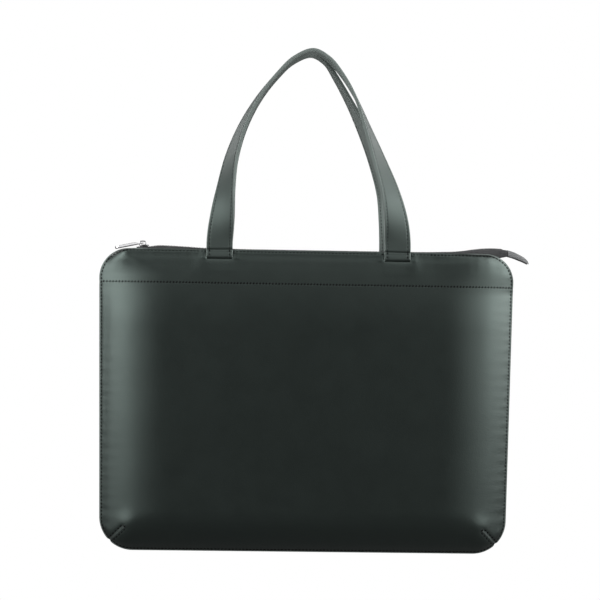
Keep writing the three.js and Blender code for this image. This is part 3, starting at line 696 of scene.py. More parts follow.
def sewn_line(line, reaches, size, slant=0.0):
    """Stitches at an even pitch along a line of (x, drop) on the front wall, each turned by slant in the
    face."""
    at = evenly(line, size.pitch)
    here = face_point(at[:, 0], at[:, 1], reaches)
    step = np.gradient(at, axis=0) * 0.05
    ahead = face_point(at[:, 0] + step[:, 0], at[:, 1] + step[:, 1], reaches)
    out = face_normal(at[:, 0], at[:, 1], reaches)
    along = unit(ahead - here)
    along = unit(along * math.cos(slant) + np.cross(out, along) * math.sin(slant))
    return stitches(here + out * size.rise * 0.1, along, out, size)


def edge_line(inset):
    """The outline moved in by inset: down the left side, along the foot, up the right side and along the
    top."""
    straight = np.linspace(TOP_CORNER + 4, BODY_HEIGHT - BOTTOM_CORNER - 4, 40)
    foot = BODY_HEIGHT - arc_rows(BOTTOM_CORNER, 24)[::-1]
    drop = np.concatenate([arc_rows(TOP_CORNER, 24), straight, foot])
    left = np.stack([-half_width(drop), drop], 1)
    loop = np.concatenate([left, left[::-1] * (-1, 1), left[:1]])
    loop = loop[np.concatenate([[True], np.linalg.norm(np.diff(loop, axis=0), axis=1) > 1e-6])]
    tangent = unit(np.gradient(loop, axis=0))
    tangent[[0, -1]] = (-1, 0)
    return loop + inset * np.stack([tangent[:, 1], -tangent[:, 0]], 1)


def dart_line(side):
    """The dart's stitching: down one side of its line, round its inner end and back up the other side."""
    turn = np.linspace(-math.pi / 2, math.pi / 2, 9)
    start, end = 3, DART_LENGTH - 2
    along = np.concatenate([[start], end + DART_STITCH_OFF * np.cos(turn), [start]])
    across = DART_STITCH_OFF * np.concatenate([[-1], np.sin(turn), [1]])
    x = BOTTOM_WIDTH / 2 - DART_CORNER - (along + across) * ROOT_HALF
    return np.stack([side * x, BODY_HEIGHT - DART_CORNER - (along - across) * ROOT_HALF], 1)


def wall_stitching(reaches, size):
    """All stitching of one wall: round the edge, sunk into the leather along the mouth, slanted along the
    yoke's seam, and round both darts."""
    edge = edge_line(size.edge_inset)
    turning = np.array([(MOUTH_SUNK_TO, size.edge_inset)])
    seam_drop = YOKE_HEIGHT - SEAM_STITCH_OFF
    reach = half_width(np.array([seam_drop]))[0] - 3
    seam = np.stack([np.linspace(-reach, reach, 160), np.full(160, seam_drop)], 1)
    return joined(
        sewn_line(np.concatenate([edge[:-1], turning]), reaches, size),
        sewn_line(np.concatenate([turning, edge[-1:]]), reaches, resized(size, MOUTH_STITCH)),
        sewn_line(seam, reaches, resized(size, SEAM_STITCH), SEAM_SLANT),
        sewn_line(dart_line(-1), reaches, size),
        sewn_line(dart_line(1), reaches, size),
    )


# Handle straps


def strap_path(is_back):
    """Centre line of a strap from its left foot over the apex to its right foot, with the directions of its
    width and of its back face. The width turns from across the bag at the feet to front-to-back at the
    apex."""
    rows = np.concatenate([LEFT_LEG, APEX, RIGHT_LEG])
    x = rows[:, 1] - np.sign(rows[:, 1]) * rows[:, 3] * is_back
    on_face = -(wall_depth(x, np.zeros_like(x)) + WALL + STRAP_ON_FACE)
    y = mix(on_face, STRAP_APEX_Y, ease(rows[:, 0] / APEX[0, 0]))
    free = np.stack([x, y, TOP_EDGE_Z + rows[:, 0]], 1)

    def foot(reach):
        across = np.full(len(FOOT), reach)
        depth = wall_depth(across, FOOT[:, 0]) + WALL + FOOT[:, 1]
        return np.stack([across, -depth, TOP_EDGE_Z - FOOT[:, 0]], 1)

    points = np.concatenate([foot(x[0])[::-1], free, foot(x[-1])])
    flat_foot = np.zeros(len(FOOT))
    twist = np.radians(np.concatenate([flat_foot, rows[:, 2], flat_foot]))[:, None]
    centre = along_points(points, STRAP_STEPS)
    turn = through_rows(np.arange(len(points)), twist, np.arange(len(centre)) / STRAP_STEPS)
    along = unit(np.gradient(centre, axis=0))
    inside = unit(np.cross(along, (0, -1, 0)))
    forward = unit(np.cross(inside, along))
    broad = np.cos(turn) * inside + np.sin(turn) * forward
    return centre, broad, unit(np.cross(along, broad))


def strap_profile(inset):
    """The strap's section: a flat bar with squarish round edges, a slight crown, and a sewn channel on both
    faces at the inset from each edge."""
    half, thick = STRAP_WIDTH / 2, STRAP_THICK / 2
    u = np.linspace(-1, 1, STRAP_FACE_POINTS) * (half - STRAP_EDGE)
    crown = STRAP_CROWN * (1 - (u / half) ** 2)
    v = thick + crown - STRAP_CHANNEL * bell(np.abs(u) - half + inset, STRAP_CHANNEL_SPREAD)
    turn = np.linspace(math.pi / 2, -math.pi / 2, 11)[1:-1]
    cap_u = half - STRAP_EDGE + STRAP_EDGE * np.cos(turn) ** STRAP_EDGE_POWER
    cap_v = thick * np.sign(np.sin(turn)) * np.abs(np.sin(turn)) ** STRAP_EDGE_POWER
    return np.concatenate([u, cap_u, u[::-1], -cap_u]), np.concatenate([v, cap_v, -v, -cap_v])


def strap_solid(is_back, inset):
    """The strap's section carried along its path. A crease runs across its front where it bends at the mouth,
    and its front is pared thin below. The cut mark is 1 on the raw edges, and on the lining side a share of
    it is painted light that brightens the underside of the handles."""
    centre, broad, flat = strap_path(is_back)
    u, v = strap_profile(inset)
    rise = centre[:, 2] - TOP_EDGE_Z
    crease = STRAP_CREASE * bell(rise + 0.4, STRAP_CREASE_SPREAD) + STRAP_SKIVE * (1 - ease((rise + 3) / 4))
    v = v[None, :] + np.where(v < 0, 1, 0)[None, :] * crease[:, None]
    rings = centre[:, None] + broad[:, None] * u[None, :, None] + flat[:, None] * v[..., None]
    face, cap = STRAP_FACE_POINTS, (len(u) - 2 * STRAP_FACE_POINTS) // 2
    # Painted light: the lining side gets part of the paler edge colour.
    cut = np.concatenate([np.full(face, LINING_PAINTED_LIGHT), np.ones(cap), np.zeros(face), np.ones(cap)])
    return *tube(rings), {"cut": np.tile(cut, len(centre))}


def strap_stitching(is_back, size):
    """Stitches along both edges of both faces of a strap, outside the bag."""
    centre, broad, flat = strap_path(is_back)
    shown = centre[:, 2] > TOP_EDGE_Z - 7
    rows = evenly(np.concatenate([centre, broad, flat], 1)[shown], size.pitch)
    centre, broad, flat = rows[:, :3], unit(rows[:, 3:6]), unit(rows[:, 6:])
    along = unit(np.gradient(centre, axis=0))
    size = resized(size, STRAP_STITCH)
    inset, height = STRAP_WIDTH / 2 - size.strap_inset, STRAP_THICK / 2 - STRAP_STITCH_SUNK
    return joined(*(stitches(centre + broad * edge * inset + flat * face * height, along, flat * face, size)
                    for edge in (-1, 1) for face in (-1, 1)))


# Zip


def parted(x):
    """How far a coil row stands aside to let the slider's post between the two rows."""
    return COIL_PART * (1 - ease((x - COIL_PART_FROM) / COIL_PART_RUN))


def tape_sections():
    """Five points of the front tape's section at each zip row, from the outer edge to the coil. In the mouth
    it follows the yoke's lining side and bends over the edge; where it is free it is a quarter of an oval."""
    x, rise, spread, edge = ZIP.T
    seat = -(COIL_SPLIT + COIL_WIDTH + TAPE_SEAT_GAP + parted(x))
    angle = np.linspace(0, math.pi / 2, 5)
    free = np.stack([mix(seat[:, None], -spread[:, None], np.cos(angle)),
                     mix(edge[:, None], rise[:, None], np.sin(angle))], -1)
    waist = np.minimum(rise, 0) - TAPE_WAIST
    height = np.stack([edge, (edge + waist) / 2, waist], 1)
    lining = -(wall_depth(x[:, None], -height) - TAPE_CLEARANCE - TAPE_THICK / 2)
    bend = np.stack([mix(lining[:, 2], seat, 0.7), mix(waist, rise, 0.5)], -1)
    coil_side = np.stack([seat, rise], -1)
    mouth = np.concatenate([np.stack([lining, height], -1), bend[:, None], coil_side[:, None]], 1)
    return np.where(spread[:, None, None] > 0, free, mouth)


def tape_solid():
    """The front tape: an even ribbon on a smooth surface through its sections, across and along."""
    at = np.concatenate([np.linspace(ZIP[0, 0], -150, 40), np.linspace(-148, ZIP[-1, 0], 160)])
    share = np.linspace(0, 1, 17)
    rows = through_rows(ZIP[:, 0], tape_sections().reshape(len(ZIP), -1), at).reshape(len(at), 5, 2)
    across = through_rows(np.linspace(0, 1, 5), rows.transpose(1, 0, 2).reshape(5, -1), share)
    section = across.reshape(len(share), len(at), 2).transpose(1, 0, 2)
    run = unit(np.gradient(section, axis=1))
    lift = np.stack([-run[..., 1], run[..., 0]], -1) * TAPE_THICK / 2

    def face(side):
        y, z = np.moveaxis(section + side * lift, -1, 0)
        return np.stack([np.broadcast_to(at[:, None], y.shape), y, TOP_EDGE_Z + z], -1)

    return slab(face(1), face(-1))


def coil_solid(pitch):
    """One coil row: a round wire wound in oval turns about the zip's line, with the line's own rise."""
    x = np.linspace(ZIP[0, 0], COIL_END_X, 900)
    line = np.stack([x, through_rows(ZIP[:, 0], ZIP[:, 1:2], x)[:, 0]], 1)
    line = evenly(line, pitch / COIL_STEPS)
    turn = np.arange(len(line)) * 2 * math.pi / COIL_STEPS
    run = unit(np.gradient(line, axis=0))
    aside = -(COIL_SPLIT + COIL_WIDTH / 2 + parted(line[:, 0]))
    middle = np.stack([line[:, 0], aside, TOP_EDGE_Z + line[:, 1]], 1)
    up = np.stack([-run[:, 1], np.zeros(len(line)), run[:, 0]], 1)
    side = np.array([(0.0, 1.0, 0.0)])
    cos, sin = np.cos(turn)[:, None], np.sin(turn)[:, None]
    wire = middle + side * (COIL_WIDTH / 2 - COIL_WIRE) * cos + up * (COIL_HEIGHT / 2 - COIL_WIRE) * sin
    along = unit(np.gradient(wire, axis=0))
    out = unit(side * cos + up * sin)
    other = unit(np.cross(along, out))
    ring = np.linspace(0, 2 * math.pi, COIL_SIDES, endpoint=False)[None, :, None]
    return tube(wire[:, None] + COIL_WIRE * (out[:, None] * np.cos(ring) + other[:, None] * np.sin(ring)))


def tail_solid():
    """The end tab: a half oval arch from its front edge to its back edge, with a rounded free end."""
    at = np.linspace(TAIL[0, 0], TAIL[-1, 0], 40)
    rows = through_rows(TAIL[:, 0], TAIL[:, 1:], at)
    angle = np.linspace(0, math.pi, 49)
    near_end = np.clip((at - TAIL[-1, 0] + 1) / TAIL_ROUND, 0, 1)
    thick = TAIL_THICK / 2 * np.sqrt(np.clip(1 - near_end ** 2, 0.02, 1))

    def face(side):
        grow = side * thick[:, None]
        y = -(rows[:, 1:2] + grow) * np.cos(angle)
        z = rows[:, 2:3] + (rows[:, 0:1] - rows[:, 2:3] + grow) * np.sin(angle)
        return np.stack([np.broadcast_to(at[:, None], y.shape), y, TOP_EDGE_Z + z], -1)

    return slab(face(1), face(-1))


# Slider and pull


def squared_oval(length, width, power, count=56):
    """An outline between an oval and a rectangle: both axes follow a power of the cosine and the sine."""
    turn = np.linspace(0, 2 * math.pi, count, endpoint=False)
    axes = np.stack([np.cos(turn), np.sin(turn)], 1)
    return np.array([length, width]) / 2 * np.sign(axes) * np.abs(axes) ** power


def outward(outline):
    """Normals of a closed outline that runs counter-clockwise."""
    step = np.roll(outline, -1, axis=0) - np.roll(outline, 1, axis=0)
    return unit(np.stack([step[:, 1], -step[:, 0]], 1))


def soft_edge(thick, soft):
    """A plate's edge from its lower to its upper face: turn of the quarter circles, inset and height."""
    turn = np.linspace(-math.pi / 2, math.pi / 2, 8)
    return turn, soft * (1 - np.cos(turn)), np.sign(turn) * (thick / 2 - soft) + soft * np.sin(turn)


def plate(outline, thick, soft):
    """A flat plate with softened edges: its outline is moved in along a quarter circle at both faces."""
    _, inset, height = soft_edge(thick, soft)
    ring = outline[None] - outward(outline)[None] * inset[:, None, None]
    return tube(np.concatenate([ring, np.broadcast_to(height[:, None, None], ring.shape[:2] + (1,))], -1))


def moved(solid, x, y, z):
    """A solid moved by an offset, with z measured from the top edge."""
    return solid[0] + (x, y, TOP_EDGE_Z + z), solid[1]


def bridge_solid():
    """The bridge over the slider: an oval bar along an arch with round shoulders."""
    half, rise = BRIDGE_HALF - BRIDGE_BAR / 2, BRIDGE_RISE - BRIDGE_BAR / 2
    bend = np.linspace(math.pi / 2, 0, 6)
    shoulder = (-half, rise) + BRIDGE_SHOULDER * np.stack([1 - np.sin(bend), np.cos(bend) - 1], 1)
    left = np.concatenate([[(-half, -0.5), (-half, 0.8)], shoulder])
    arch = np.concatenate([left, left[::-1] * (-1, 1)])
    line = along_points(np.stack([arch[:, 0], 0 * arch[:, 0], arch[:, 1]], 1), 4)
    across = np.cross(unit(np.gradient(line, axis=0)), (0, 1, 0))
    oval = squared_oval(BRIDGE_BAR, BRIDGE_WIDTH, 0.7, 16)[None]
    return tube(line[:, None] + across[:, None] * oval[..., :1] + np.array((0, 1, 0)) * oval[..., 1:])


def slider_solid():
    """The slider: a roof and a floor plate with side flanges, the post between them, and the bridge."""
    body = plate(squared_oval(*SLIDER_OUTLINE), SLIDER_PLATE, SLIDER_SOFT)
    post = plate(squared_oval(*POST_OUTLINE, 24), SLIDER_ROOF - SLIDER_FLOOR + 0.6, POST_SOFT)
    flange = plate(squared_oval(*FLANGE_OUTLINE, 28), FLANGE_THICK, FLANGE_SOFT)
    return joined(
        moved(body, SLIDER_X, 0, SLIDER_ROOF + SLIDER_PLATE / 2),
        moved(body, SLIDER_X, 0, SLIDER_FLOOR - SLIDER_PLATE / 2),
        moved(post, POST_X, 0, (SLIDER_ROOF + SLIDER_FLOOR) / 2),
        *(moved(flange, SLIDER_X + FLANGE_AHEAD, side * FLANGE_ASIDE, height)
          for height in (SLIDER_ROOF - 0.3, SLIDER_FLOOR + 0.2) for side in (-1, 1)),
        moved(bridge_solid(), PIVOT_X, 0, SLIDER_ROOF + SLIDER_PLATE),
    )


def pull_solid():
    """The pull: a flat ring from its outline to its window, with softened edges, drooped about the bridge.
    The outline widens from the eye's bar to a half-round tip, and the blade swells upwards past the window.
    The edge mark is 1 where the rounded edges turn into the faces; the finish paints shade there as dark
    rims."""
    half, neck, wide = PULL_THICK / 2, PULL_NECK / 2, PULL_WIDTH / 2
    tip = np.linspace(math.pi / 2, 1.5 * math.pi, 30)
    eye_end = np.array([(half - PULL_NICK, -neck), (half, PULL_NICK - neck)])
    outline = np.concatenate([
        eye_end, eye_end[::-1] * (1, -1),
        np.stack([wide - PULL_LENGTH + wide * np.cos(tip), wide * np.sin(tip)], 1),
    ])
    outer = evenly(np.concatenate([outline, outline[:1]]), 0.7)
    width, end = PULL_WINDOW
    eye = np.array([-(half + end) / 2, 0])
    angle = np.arctan2(*(outer - eye).T[::-1])
    spoke = np.stack([np.cos(angle), np.sin(angle)], 1)
    shares = (np.abs(spoke) / ((end - half) / 2, width / 2)) ** PULL_WINDOW_POWER
    inner = eye + spoke * (shares.sum(axis=1) ** (-1 / PULL_WINDOW_POWER))[:, None]
    turn, inset, height = soft_edge(PULL_THICK, PULL_SOFT)
    outside = outer[None] - outward(outer)[None] * inset[:, None, None]
    inside = inner[None] + outward(inner)[None] * inset[::-1, None, None]
    flat = np.concatenate([outside, inside])
    swell = mix(1, PULL_SWELL, ease((-end - flat[..., 0]) / PULL_SWELL_RUN))
    level = np.concatenate([height, height[::-1]])[:, None] * swell + half * (swell - 1)
    # Edge mark for the finish's painted shade at the rounded edges.
    corner = ease((np.abs(turn) - turn[4]) / (turn[6] - turn[4]))
    cos, sin = math.cos(PULL_DROOP), math.sin(PULL_DROOP)
    turned = np.stack([flat[..., 0] * cos - level * sin, flat[..., 1], flat[..., 0] * sin + level * cos], -1)
    drooped = moved(tube(turned, looped=True), PIVOT_X, 0, PIVOT_Z)
    return *drooped, {"edge": np.repeat(np.tile(corner, 2), len(outer))}


# Finishes


def feed(tree, made, inputs):
    """Sets a node's inputs to values, or links them to other nodes' outputs."""
    for key, value in inputs.items():
        if isinstance(value, bpy.types.NodeSocket):
            tree.links.new(value, made.inputs[key])
        else:
            made.inputs[key].default_value = value


def node(tree, kind, inputs=None, **settings):
    """A shader node with its settings and its inputs."""
    made = tree.nodes.new(kind)
    for key, value in settings.items():
        setattr(made, key, value)
    feed(tree, made, inputs or {})
    return made


def bare_tree(owner):
    """The emptied node tree of a material or a world."""
    owner.use_nodes = True
    owner.node_tree.nodes.clear()
    return owner.node_tree


def finish(name):
    """An empty material and its tree, shader and object coordinates."""
    material = bpy.data.materials.new(name)
    tree = bare_tree(material)
    shader = node(tree, "ShaderNodeBsdfPrincipled")
    node(tree, "ShaderNodeOutputMaterial", {"Surface": shader.outputs["BSDF"]})
    return material, tree, shader, node(tree, "ShaderNodeTexCoord").outputs["Object"]


def spread(tree, value, low, high, from_low=0.0, from_high=1.0):
    """A value mapped from one range to another."""
    return node(tree, "ShaderNodeMapRange", {
        "Value": value, "From Min": from_low, "From Max": from_high, "To Min": low, "To Max": high,
    }).outputs["Result"]


def noise(tree, place, scale, detail=3.0, roughness=0.55):
    """Soft noise over the object's coordinates."""
    return node(tree, "ShaderNodeTexNoise", {
        "Vector": place, "Scale": scale, "Detail": detail, "Roughness": roughness,
    }).outputs["Fac"]


def bands(tree, place, direction, scale, distortion, detail=2.0):
    """Soft stripes over the object's coordinates."""
    return node(tree, "ShaderNodeTexWave", {
        "Vector": place, "Scale": scale, "Distortion": distortion, "Detail": detail,
    }, wave_type="BANDS", bands_direction=direction).outputs["Fac"]


def combined(tree, operation, a, b):
    """Two values put together by an operation."""
    return node(tree, "ShaderNodeMath", {0: a, 1: b}, operation=operation).outputs[0]


def mark(tree, name):
    """A piece's own mark, a number for each point."""
    return node(tree, "ShaderNodeAttribute", attribute_name=name).outputs["Fac"]


def blend_colour(tree, share, low, high):
    """A colour between two, each a value or another node's output, by a share."""
    ends = [value if isinstance(value, bpy.types.NodeSocket) else (*value, 1) for value in (low, high)]
    return node(tree, "ShaderNodeMix", {"Factor": share, 6: ends[0], 7: ends[1]}, data_type="RGBA").outputs[2]


def bump(tree, height, distance, strength):
    """Normals of a relief of a given depth."""
    relief = {"Height": height, "Distance": distance, "Strength": strength}
    return node(tree, "ShaderNodeBump", relief).outputs["Normal"]


def shade(colour, factor):
    """A colour made lighter or darker."""
    return tuple(channel * factor for channel in colour)


def leather_finish(name, colour, edge_colour, roughness, grain_depth):
    """Smooth dyed leather: pebbled grain from cells and fine noise, slow changes of tone, paler raw edges by
    the cut mark, which also paints a highlight on the darts' ridges and light on the straps' lining side, and
    a soft uneven gloss."""
    material, tree, shader, place = finish(name)
    cells = node(tree, "ShaderNodeTexVoronoi", {"Vector": place, "Scale": 950.0, "Randomness": 1.0},
                 feature="SMOOTH_F1").outputs["Distance"]
    grain = combined(tree, "ADD", cells, noise(tree, place, 2100.0, 2.0))
    tone = spread(tree, noise(tree, place, 16.0, 4.0), 0, 1, *NOISE_RANGE)
    dyed = blend_colour(tree, tone, shade(colour, 0.95), shade(colour, 1.05))
    gloss = noise(tree, place, 55.0, 4.0)
    feed(tree, shader, {
        # The cut mark mixes in the paler edge colour: the raw edges' own colour, and painted light on the
        # darts' ridges and the straps' lining side.
        "Base Color": blend_colour(tree, mark(tree, "cut"), dyed, edge_colour),
        "Roughness": spread(tree, gloss, roughness - 0.015, roughness + 0.015, *NOISE_RANGE),
        "Specular Tint": (*shade(colour, 1 / max(colour)), 1),
        "Normal": bump(tree, grain, grain_depth, 0.5),
    })
    return material


def thread_finish(name, colour):
    """Waxed thread: fine twisted strands across the stitch, with painted shade in the grooves between them,
    and a dull gloss.
    """
    material, tree, shader, place = finish(name)
    strand_relief_and_shade = bands(tree, place, "DIAGONAL", 900.0, 2.0)
    feed(tree, shader, {
        # Painted shade: the colour follows the strands' relief, darker in the grooves.
        "Base Color": blend_colour(tree, strand_relief_and_shade, shade(colour, 0.7), shade(colour, 1.3)),
        "Roughness": 0.9,
        "Specular IOR Level": 0.1,
        "Normal": bump(tree, strand_relief_and_shade, 0.00005, 0.6),
    })
    return material


def woven_finish(name, colour, yarn, roughness):
    """Woven tape: ribs along and across at the yarn's pitch, with painted shade in the gaps, and a little
    fuzz.
    Bands repeat every pi / (10 scale) metres."""
    material, tree, shader, place = finish(name)
    ribs = [bands(tree, place, axis, math.pi / (10 * yarn), 0.4, 1.0) for axis in ("X", "Y", "Z")]
    weave = combined(tree, "MULTIPLY", combined(tree, "MAXIMUM", ribs[1], ribs[2]), ribs[0])
    # Painted shade: the colour darkens in the weave's gaps, times the fuzz's random tone.
    fuzz_and_gap_shade = combined(tree, "MULTIPLY", weave, noise(tree, place, 300.0))
    tone = spread(tree, fuzz_and_gap_shade, 0, 1, 0, 0.5)
    feed(tree, shader, {
        "Base Color": blend_colour(tree, tone, shade(colour, 0.55), shade(colour, 1.35)),
        "Roughness": roughness,
        "Normal": bump(tree, weave, yarn * 0.5, 0.7),
    })
    return material


def nylon_finish(name, colour):
    """Moulded nylon wire: even colour with a faint haze in its gloss."""
    material, tree, shader, place = finish(name)
    haze = noise(tree, place, 420.0, 2.0)
    feed(tree, shader, {
        "Base Color": blend_colour(tree, haze, shade(colour, 0.8), shade(colour, 1.2)),
        "Roughness": spread(tree, haze, 0.3, 0.45, *NOISE_RANGE),
    })
    return material


def nickel_finish(name, colour):
    """Polished nickel: faint brushed lines along the pull, a little tarnish, and painted shade as dark rims
    by the edge mark."""
    material, tree, shader, place = finish(name)
    brushed = {"Vector": place, "Scale": (60.0, 1400.0, 1400.0)}
    lines = noise(tree, node(tree, "ShaderNodeMapping", brushed).outputs["Vector"], 1.0)
    clean = blend_colour(tree, noise(tree, place, 260.0), shade(colour, 0.88), shade(colour, 1.06))
    feed(tree, shader, {
        # Painted shade: dark rims where the edge mark is set.
        "Base Color": blend_colour(tree, mark(tree, "edge"), clean, shade(colour, 0.15)),
        "Roughness": spread(tree, lines, 0.14, 0.27, *NOISE_RANGE),
        "Metallic": 1.0,
    })
    return material


# Settings


def length(name, description, millimetres):
    """A length setting with its default in millimetres."""
    return bpy.props.FloatProperty(name=name, description=description, default=millimetres * MM, min=0.0,
                                   subtype="DISTANCE", unit="LENGTH", precision=5)


def portion(name, description, value):
    """A setting from 0 to 1."""
    return bpy.props.FloatProperty(name=name, description=description, default=value, min=0.0, max=1.0,
                                   subtype="FACTOR")


def colour(name, description, value):
    """A colour setting."""
    return bpy.props.FloatVectorProperty(name=name, description=description, default=value, subtype="COLOR",
                                         size=3, min=0.0, max=1.0)


class StitchSizes(bpy.types.PropertyGroup):
    """Sizes of the stitching."""

    pitch: length("Pitch", "Distance from one stitch to the next", 3.4)
    length: length("Length", "Length of a stitch", 2.4)
    width: length("Width", "Width of a stitch", 1.6)
    rise: length("Rise", "Height of a stitch", 0.6)
    edge_inset: length("Edge inset", "Distance of the stitching from the bag's edge", 2.1)
    strap_inset: length("Strap inset", "Distance of the stitching from a strap's edge", 3.0)

    def in_mm(self):
        """The sizes in millimetres."""
        return StitchRow(*(getattr(self, field) / MM for field in StitchRow._fields))


class ZipSizes(bpy.types.PropertyGroup):
    """Sizes of the zip."""

    coil_pitch: length("Coil pitch", "Distance from one turn of the coil to the next", 1.5)
    yarn: length("Yarn", "Pitch of the tapes' weave", 0.55)
    tab_yarn: length("Tab yarn", "Pitch of the end tab's weave", 0.9)


class BagColours(bpy.types.PropertyGroup):
    """Colours and gloss of the bag and its studio."""

    leather: colour("Leather", "Dye of the walls", (0.0055, 0.0069, 0.0064))
    strap: colour("Strap", "Dye of the straps", (0.0150, 0.0186, 0.0173))
    edge: colour("Edge", "Colour of the leather's raw edges", (0.085, 0.097, 0.092))
    thread: colour("Thread", "Colour of the stitches", (0.002, 0.0023, 0.0023))
    tape: colour("Tape", "Colour of the zip's tapes", (0.024, 0.025, 0.026))
    coil: colour("Coil", "Colour of the zip's coil", (0.012, 0.013, 0.014))
    tab: colour("End tab", "Colour of the woven end tab", (0.1, 0.103, 0.105))
    nickel: colour("Nickel", "Colour of the slider and pull", (0.76, 0.76, 0.77))
    floor: colour("Floor", "Colour of the studio's floor", (1.0, 1.0, 1.0))
    gloss: portion("Roughness", "Roughness of the leather", 0.39)
    strap_gloss: portion("Strap roughness", "Roughness of the straps", 0.55)


# Studio

CAMERA_TARGET = (-0.00657, 0.0, -0.2390)
CAMERA_DISTANCE = 1.9236
CAMERA_YAW = math.radians(-2.4)
CAMERA_PITCH = math.radians(-0.5)
CAMERA_ROLL = math.radians(0.92)
VIEW_HALF = 300 * 0.0009723
LIGHT_TARGET = (0, 0, -0.3)
SURROUND = 0.025
PAPER_SHADE = 0.12

# Floor sweep, in metres: half its width, its front and back, the radius of its turn and the wall's height
FLOOR_Z = -0.86
SWEEP_HALF, SWEEP_FRONT, SWEEP_BACK, SWEEP_TURN, SWEEP_TOP = 6.0, -6.0, 4.5, 1.5, 5.0

# Soft boxes: name, place, width, height and power in watts; each faces the middle of the bag.
SOFT_BOXES = (
    ("left_box", (-1.17, -0.60, 0.20), 0.75, 1.35, 27.5),
    ("right_box", (1.26, -0.34, 0.25), 1.0, 1.3, 39),
    ("left_fill", (-1.0, -1.35, 0.15), 0.8, 1.2, 7),
    ("right_fill", (1.05, -1.25, 0.15), 0.8, 1.2, 7),
    ("top_box", (0.0, -0.95, 1.15), 1.6, 0.6, 8),
    ("back_left", (-1.3, 1.3, 0.3), 0.7, 1.2, 12),
    ("back_right", (1.3, 1.3, 0.3), 0.7, 1.2, 12),
)
# White cards that serve some pieces alone, named last: a wide one behind the camera for the pull, and one low
# behind the bag for the underside of the handles.
CARDS = (
    ("metal_card", (-0.3, -2.6, 0.4), 3.2, 2.0, 20, ("pull_nickel",)),
    ("handle_card", (0.0, 0.4, -1.2), 0.7, 0.5, 15, ("front_strap_leather", "back_strap_leather")),
)


def aimed(place, target, roll=0.0):
    """Rotation that points an object's -Z axis from a place at a target, turned about that line by roll."""
    back = unit(np.array(place) - np.array(target))
    right = unit(np.cross((0, 0, 1), back))
    up = np.cross(back, right)
    cos, sin = math.cos(roll), math.sin(roll)
    turned = np.stack([right * cos + up * sin, up * cos - right * sin, back], 1)
    return Matrix(turned.tolist()).to_euler()


def set_up(name, data, place, target, roll=0.0):
    """A light or camera put in its place and pointed at a target."""
    made = bpy.data.objects.new(name, data)
    made.location = place
    made.rotation_euler = aimed(place, target, roll)
    bpy.context.scene.collection.objects.link(made)
    return made


def soft_box(name, place, width, height, power):
    """A rectangular soft light that faces the bag."""
    light = bpy.data.lights.new(name, "AREA")
    light.shape = "RECTANGLE"
    light.size, light.size_y, light.energy = width, height, power
    return set_up(name, light, place, LIGHT_TARGET)


def grouped(name, pieces):
    """A collection of pieces, for a light that serves them or is shaded by them."""
    group = bpy.data.collections.new(name)
    for piece in pieces:
        group.objects.link(piece)
    return group


def studio_camera():
    """A camera at the photograph's place, with its angle of view across the square frame."""
    flat, height = CAMERA_DISTANCE * math.cos(CAMERA_PITCH), CAMERA_DISTANCE * math.sin(CAMERA_PITCH)
    offset = (flat * math.sin(CAMERA_YAW), -flat * math.cos(CAMERA_YAW), height)
    data = bpy.data.cameras.new("camera")
    data.sensor_fit = "HORIZONTAL"
    data.angle = 2 * math.atan(VIEW_HALF / CAMERA_DISTANCE)
    place = np.array(CAMERA_TARGET) + offset
    bpy.context.scene.camera = set_up("camera", data, place, CAMERA_TARGET, CAMERA_ROLL)


def sweep_finish(tone):
    """Matt pale paper that shows evenly lit to the camera and gives back little light to the bag."""
    material = bpy.data.materials.new("sweep_paper")
    tree = bare_tree(material)
    paper = node(tree, "ShaderNodeBsdfDiffuse", {"Color": (*shade(tone, PAPER_SHADE), 1)}).outputs["BSDF"]
    plain = node(tree, "ShaderNodeEmission", {"Color": (*tone, 1), "Strength": 1.0}).outputs["Emission"]
    seen = node(tree, "ShaderNodeLightPath").outputs["Is Camera Ray"]
    mixed = node(tree, "ShaderNodeMixShader", {0: seen, 1: paper, 2: plain})
    node(tree, "ShaderNodeOutputMaterial", {"Surface": mixed.outputs["Shader"]})
    return material


def sweep(tone):
    """A floor that turns up behind: a straight run, a quarter circle and a wall, across the studio."""
    turn = np.linspace(0, math.pi / 2, 17)
    curve = SWEEP_BACK - SWEEP_TURN + SWEEP_TURN * np.sin(turn)
    depth = np.concatenate([[SWEEP_FRONT], curve, [SWEEP_BACK]])
    height = np.concatenate([[0.0], SWEEP_TURN * (1 - np.cos(turn)), [SWEEP_TOP]])
    across = np.linspace(-SWEEP_HALF, SWEEP_HALF, 9)
    points = np.stack(np.broadcast_arrays(across[None, :], depth[:, None], FLOOR_Z + height[:, None]), -1)
    index = grid_index(*points.shape[:2])
    quads = np.stack([index[:-1, :-1], index[:-1, 1:], index[1:, 1:], index[1:, :-1]], -1).reshape(-1, 4)
    mesh = bpy.data.meshes.new("floor")
    mesh.from_pydata(points.reshape(-1, 3).tolist(), [], quads.tolist())
    mesh.polygons.foreach_set("use_smooth", np.ones(len(quads), bool))
    mesh.materials.append(sweep_finish(tone))
    floor = bpy.data.objects.new("floor", mesh)
    bpy.context.scene.collection.objects.link(floor)


def studio_world():
    """A white surround for the camera and a dim one for the light on the bag."""
    world = bpy.data.worlds.new("studio")
    tree = bare_tree(world)
    seen = node(tree, "ShaderNodeLightPath").outputs["Is Camera Ray"]
    lit = {"Color": (1, 1, 1, 1), "Strength": spread(tree, seen, SURROUND, 1.0)}
    back = node(tree, "ShaderNodeBackground", lit)
    node(tree, "ShaderNodeOutputWorld", {"Surface": back.outputs["Background"]})
    bpy.context.scene.world = world


# Operators

SIDES = (("front", False), ("back", True))


def strap_reaches(is_back):
    """Where a wall's two straps stand."""
    return LEFT_LEG[0, 1] + LEFT_LEG[0, 3] * is_back, RIGHT_LEG[-1, 1] - RIGHT_LEG[-1, 3] * is_back


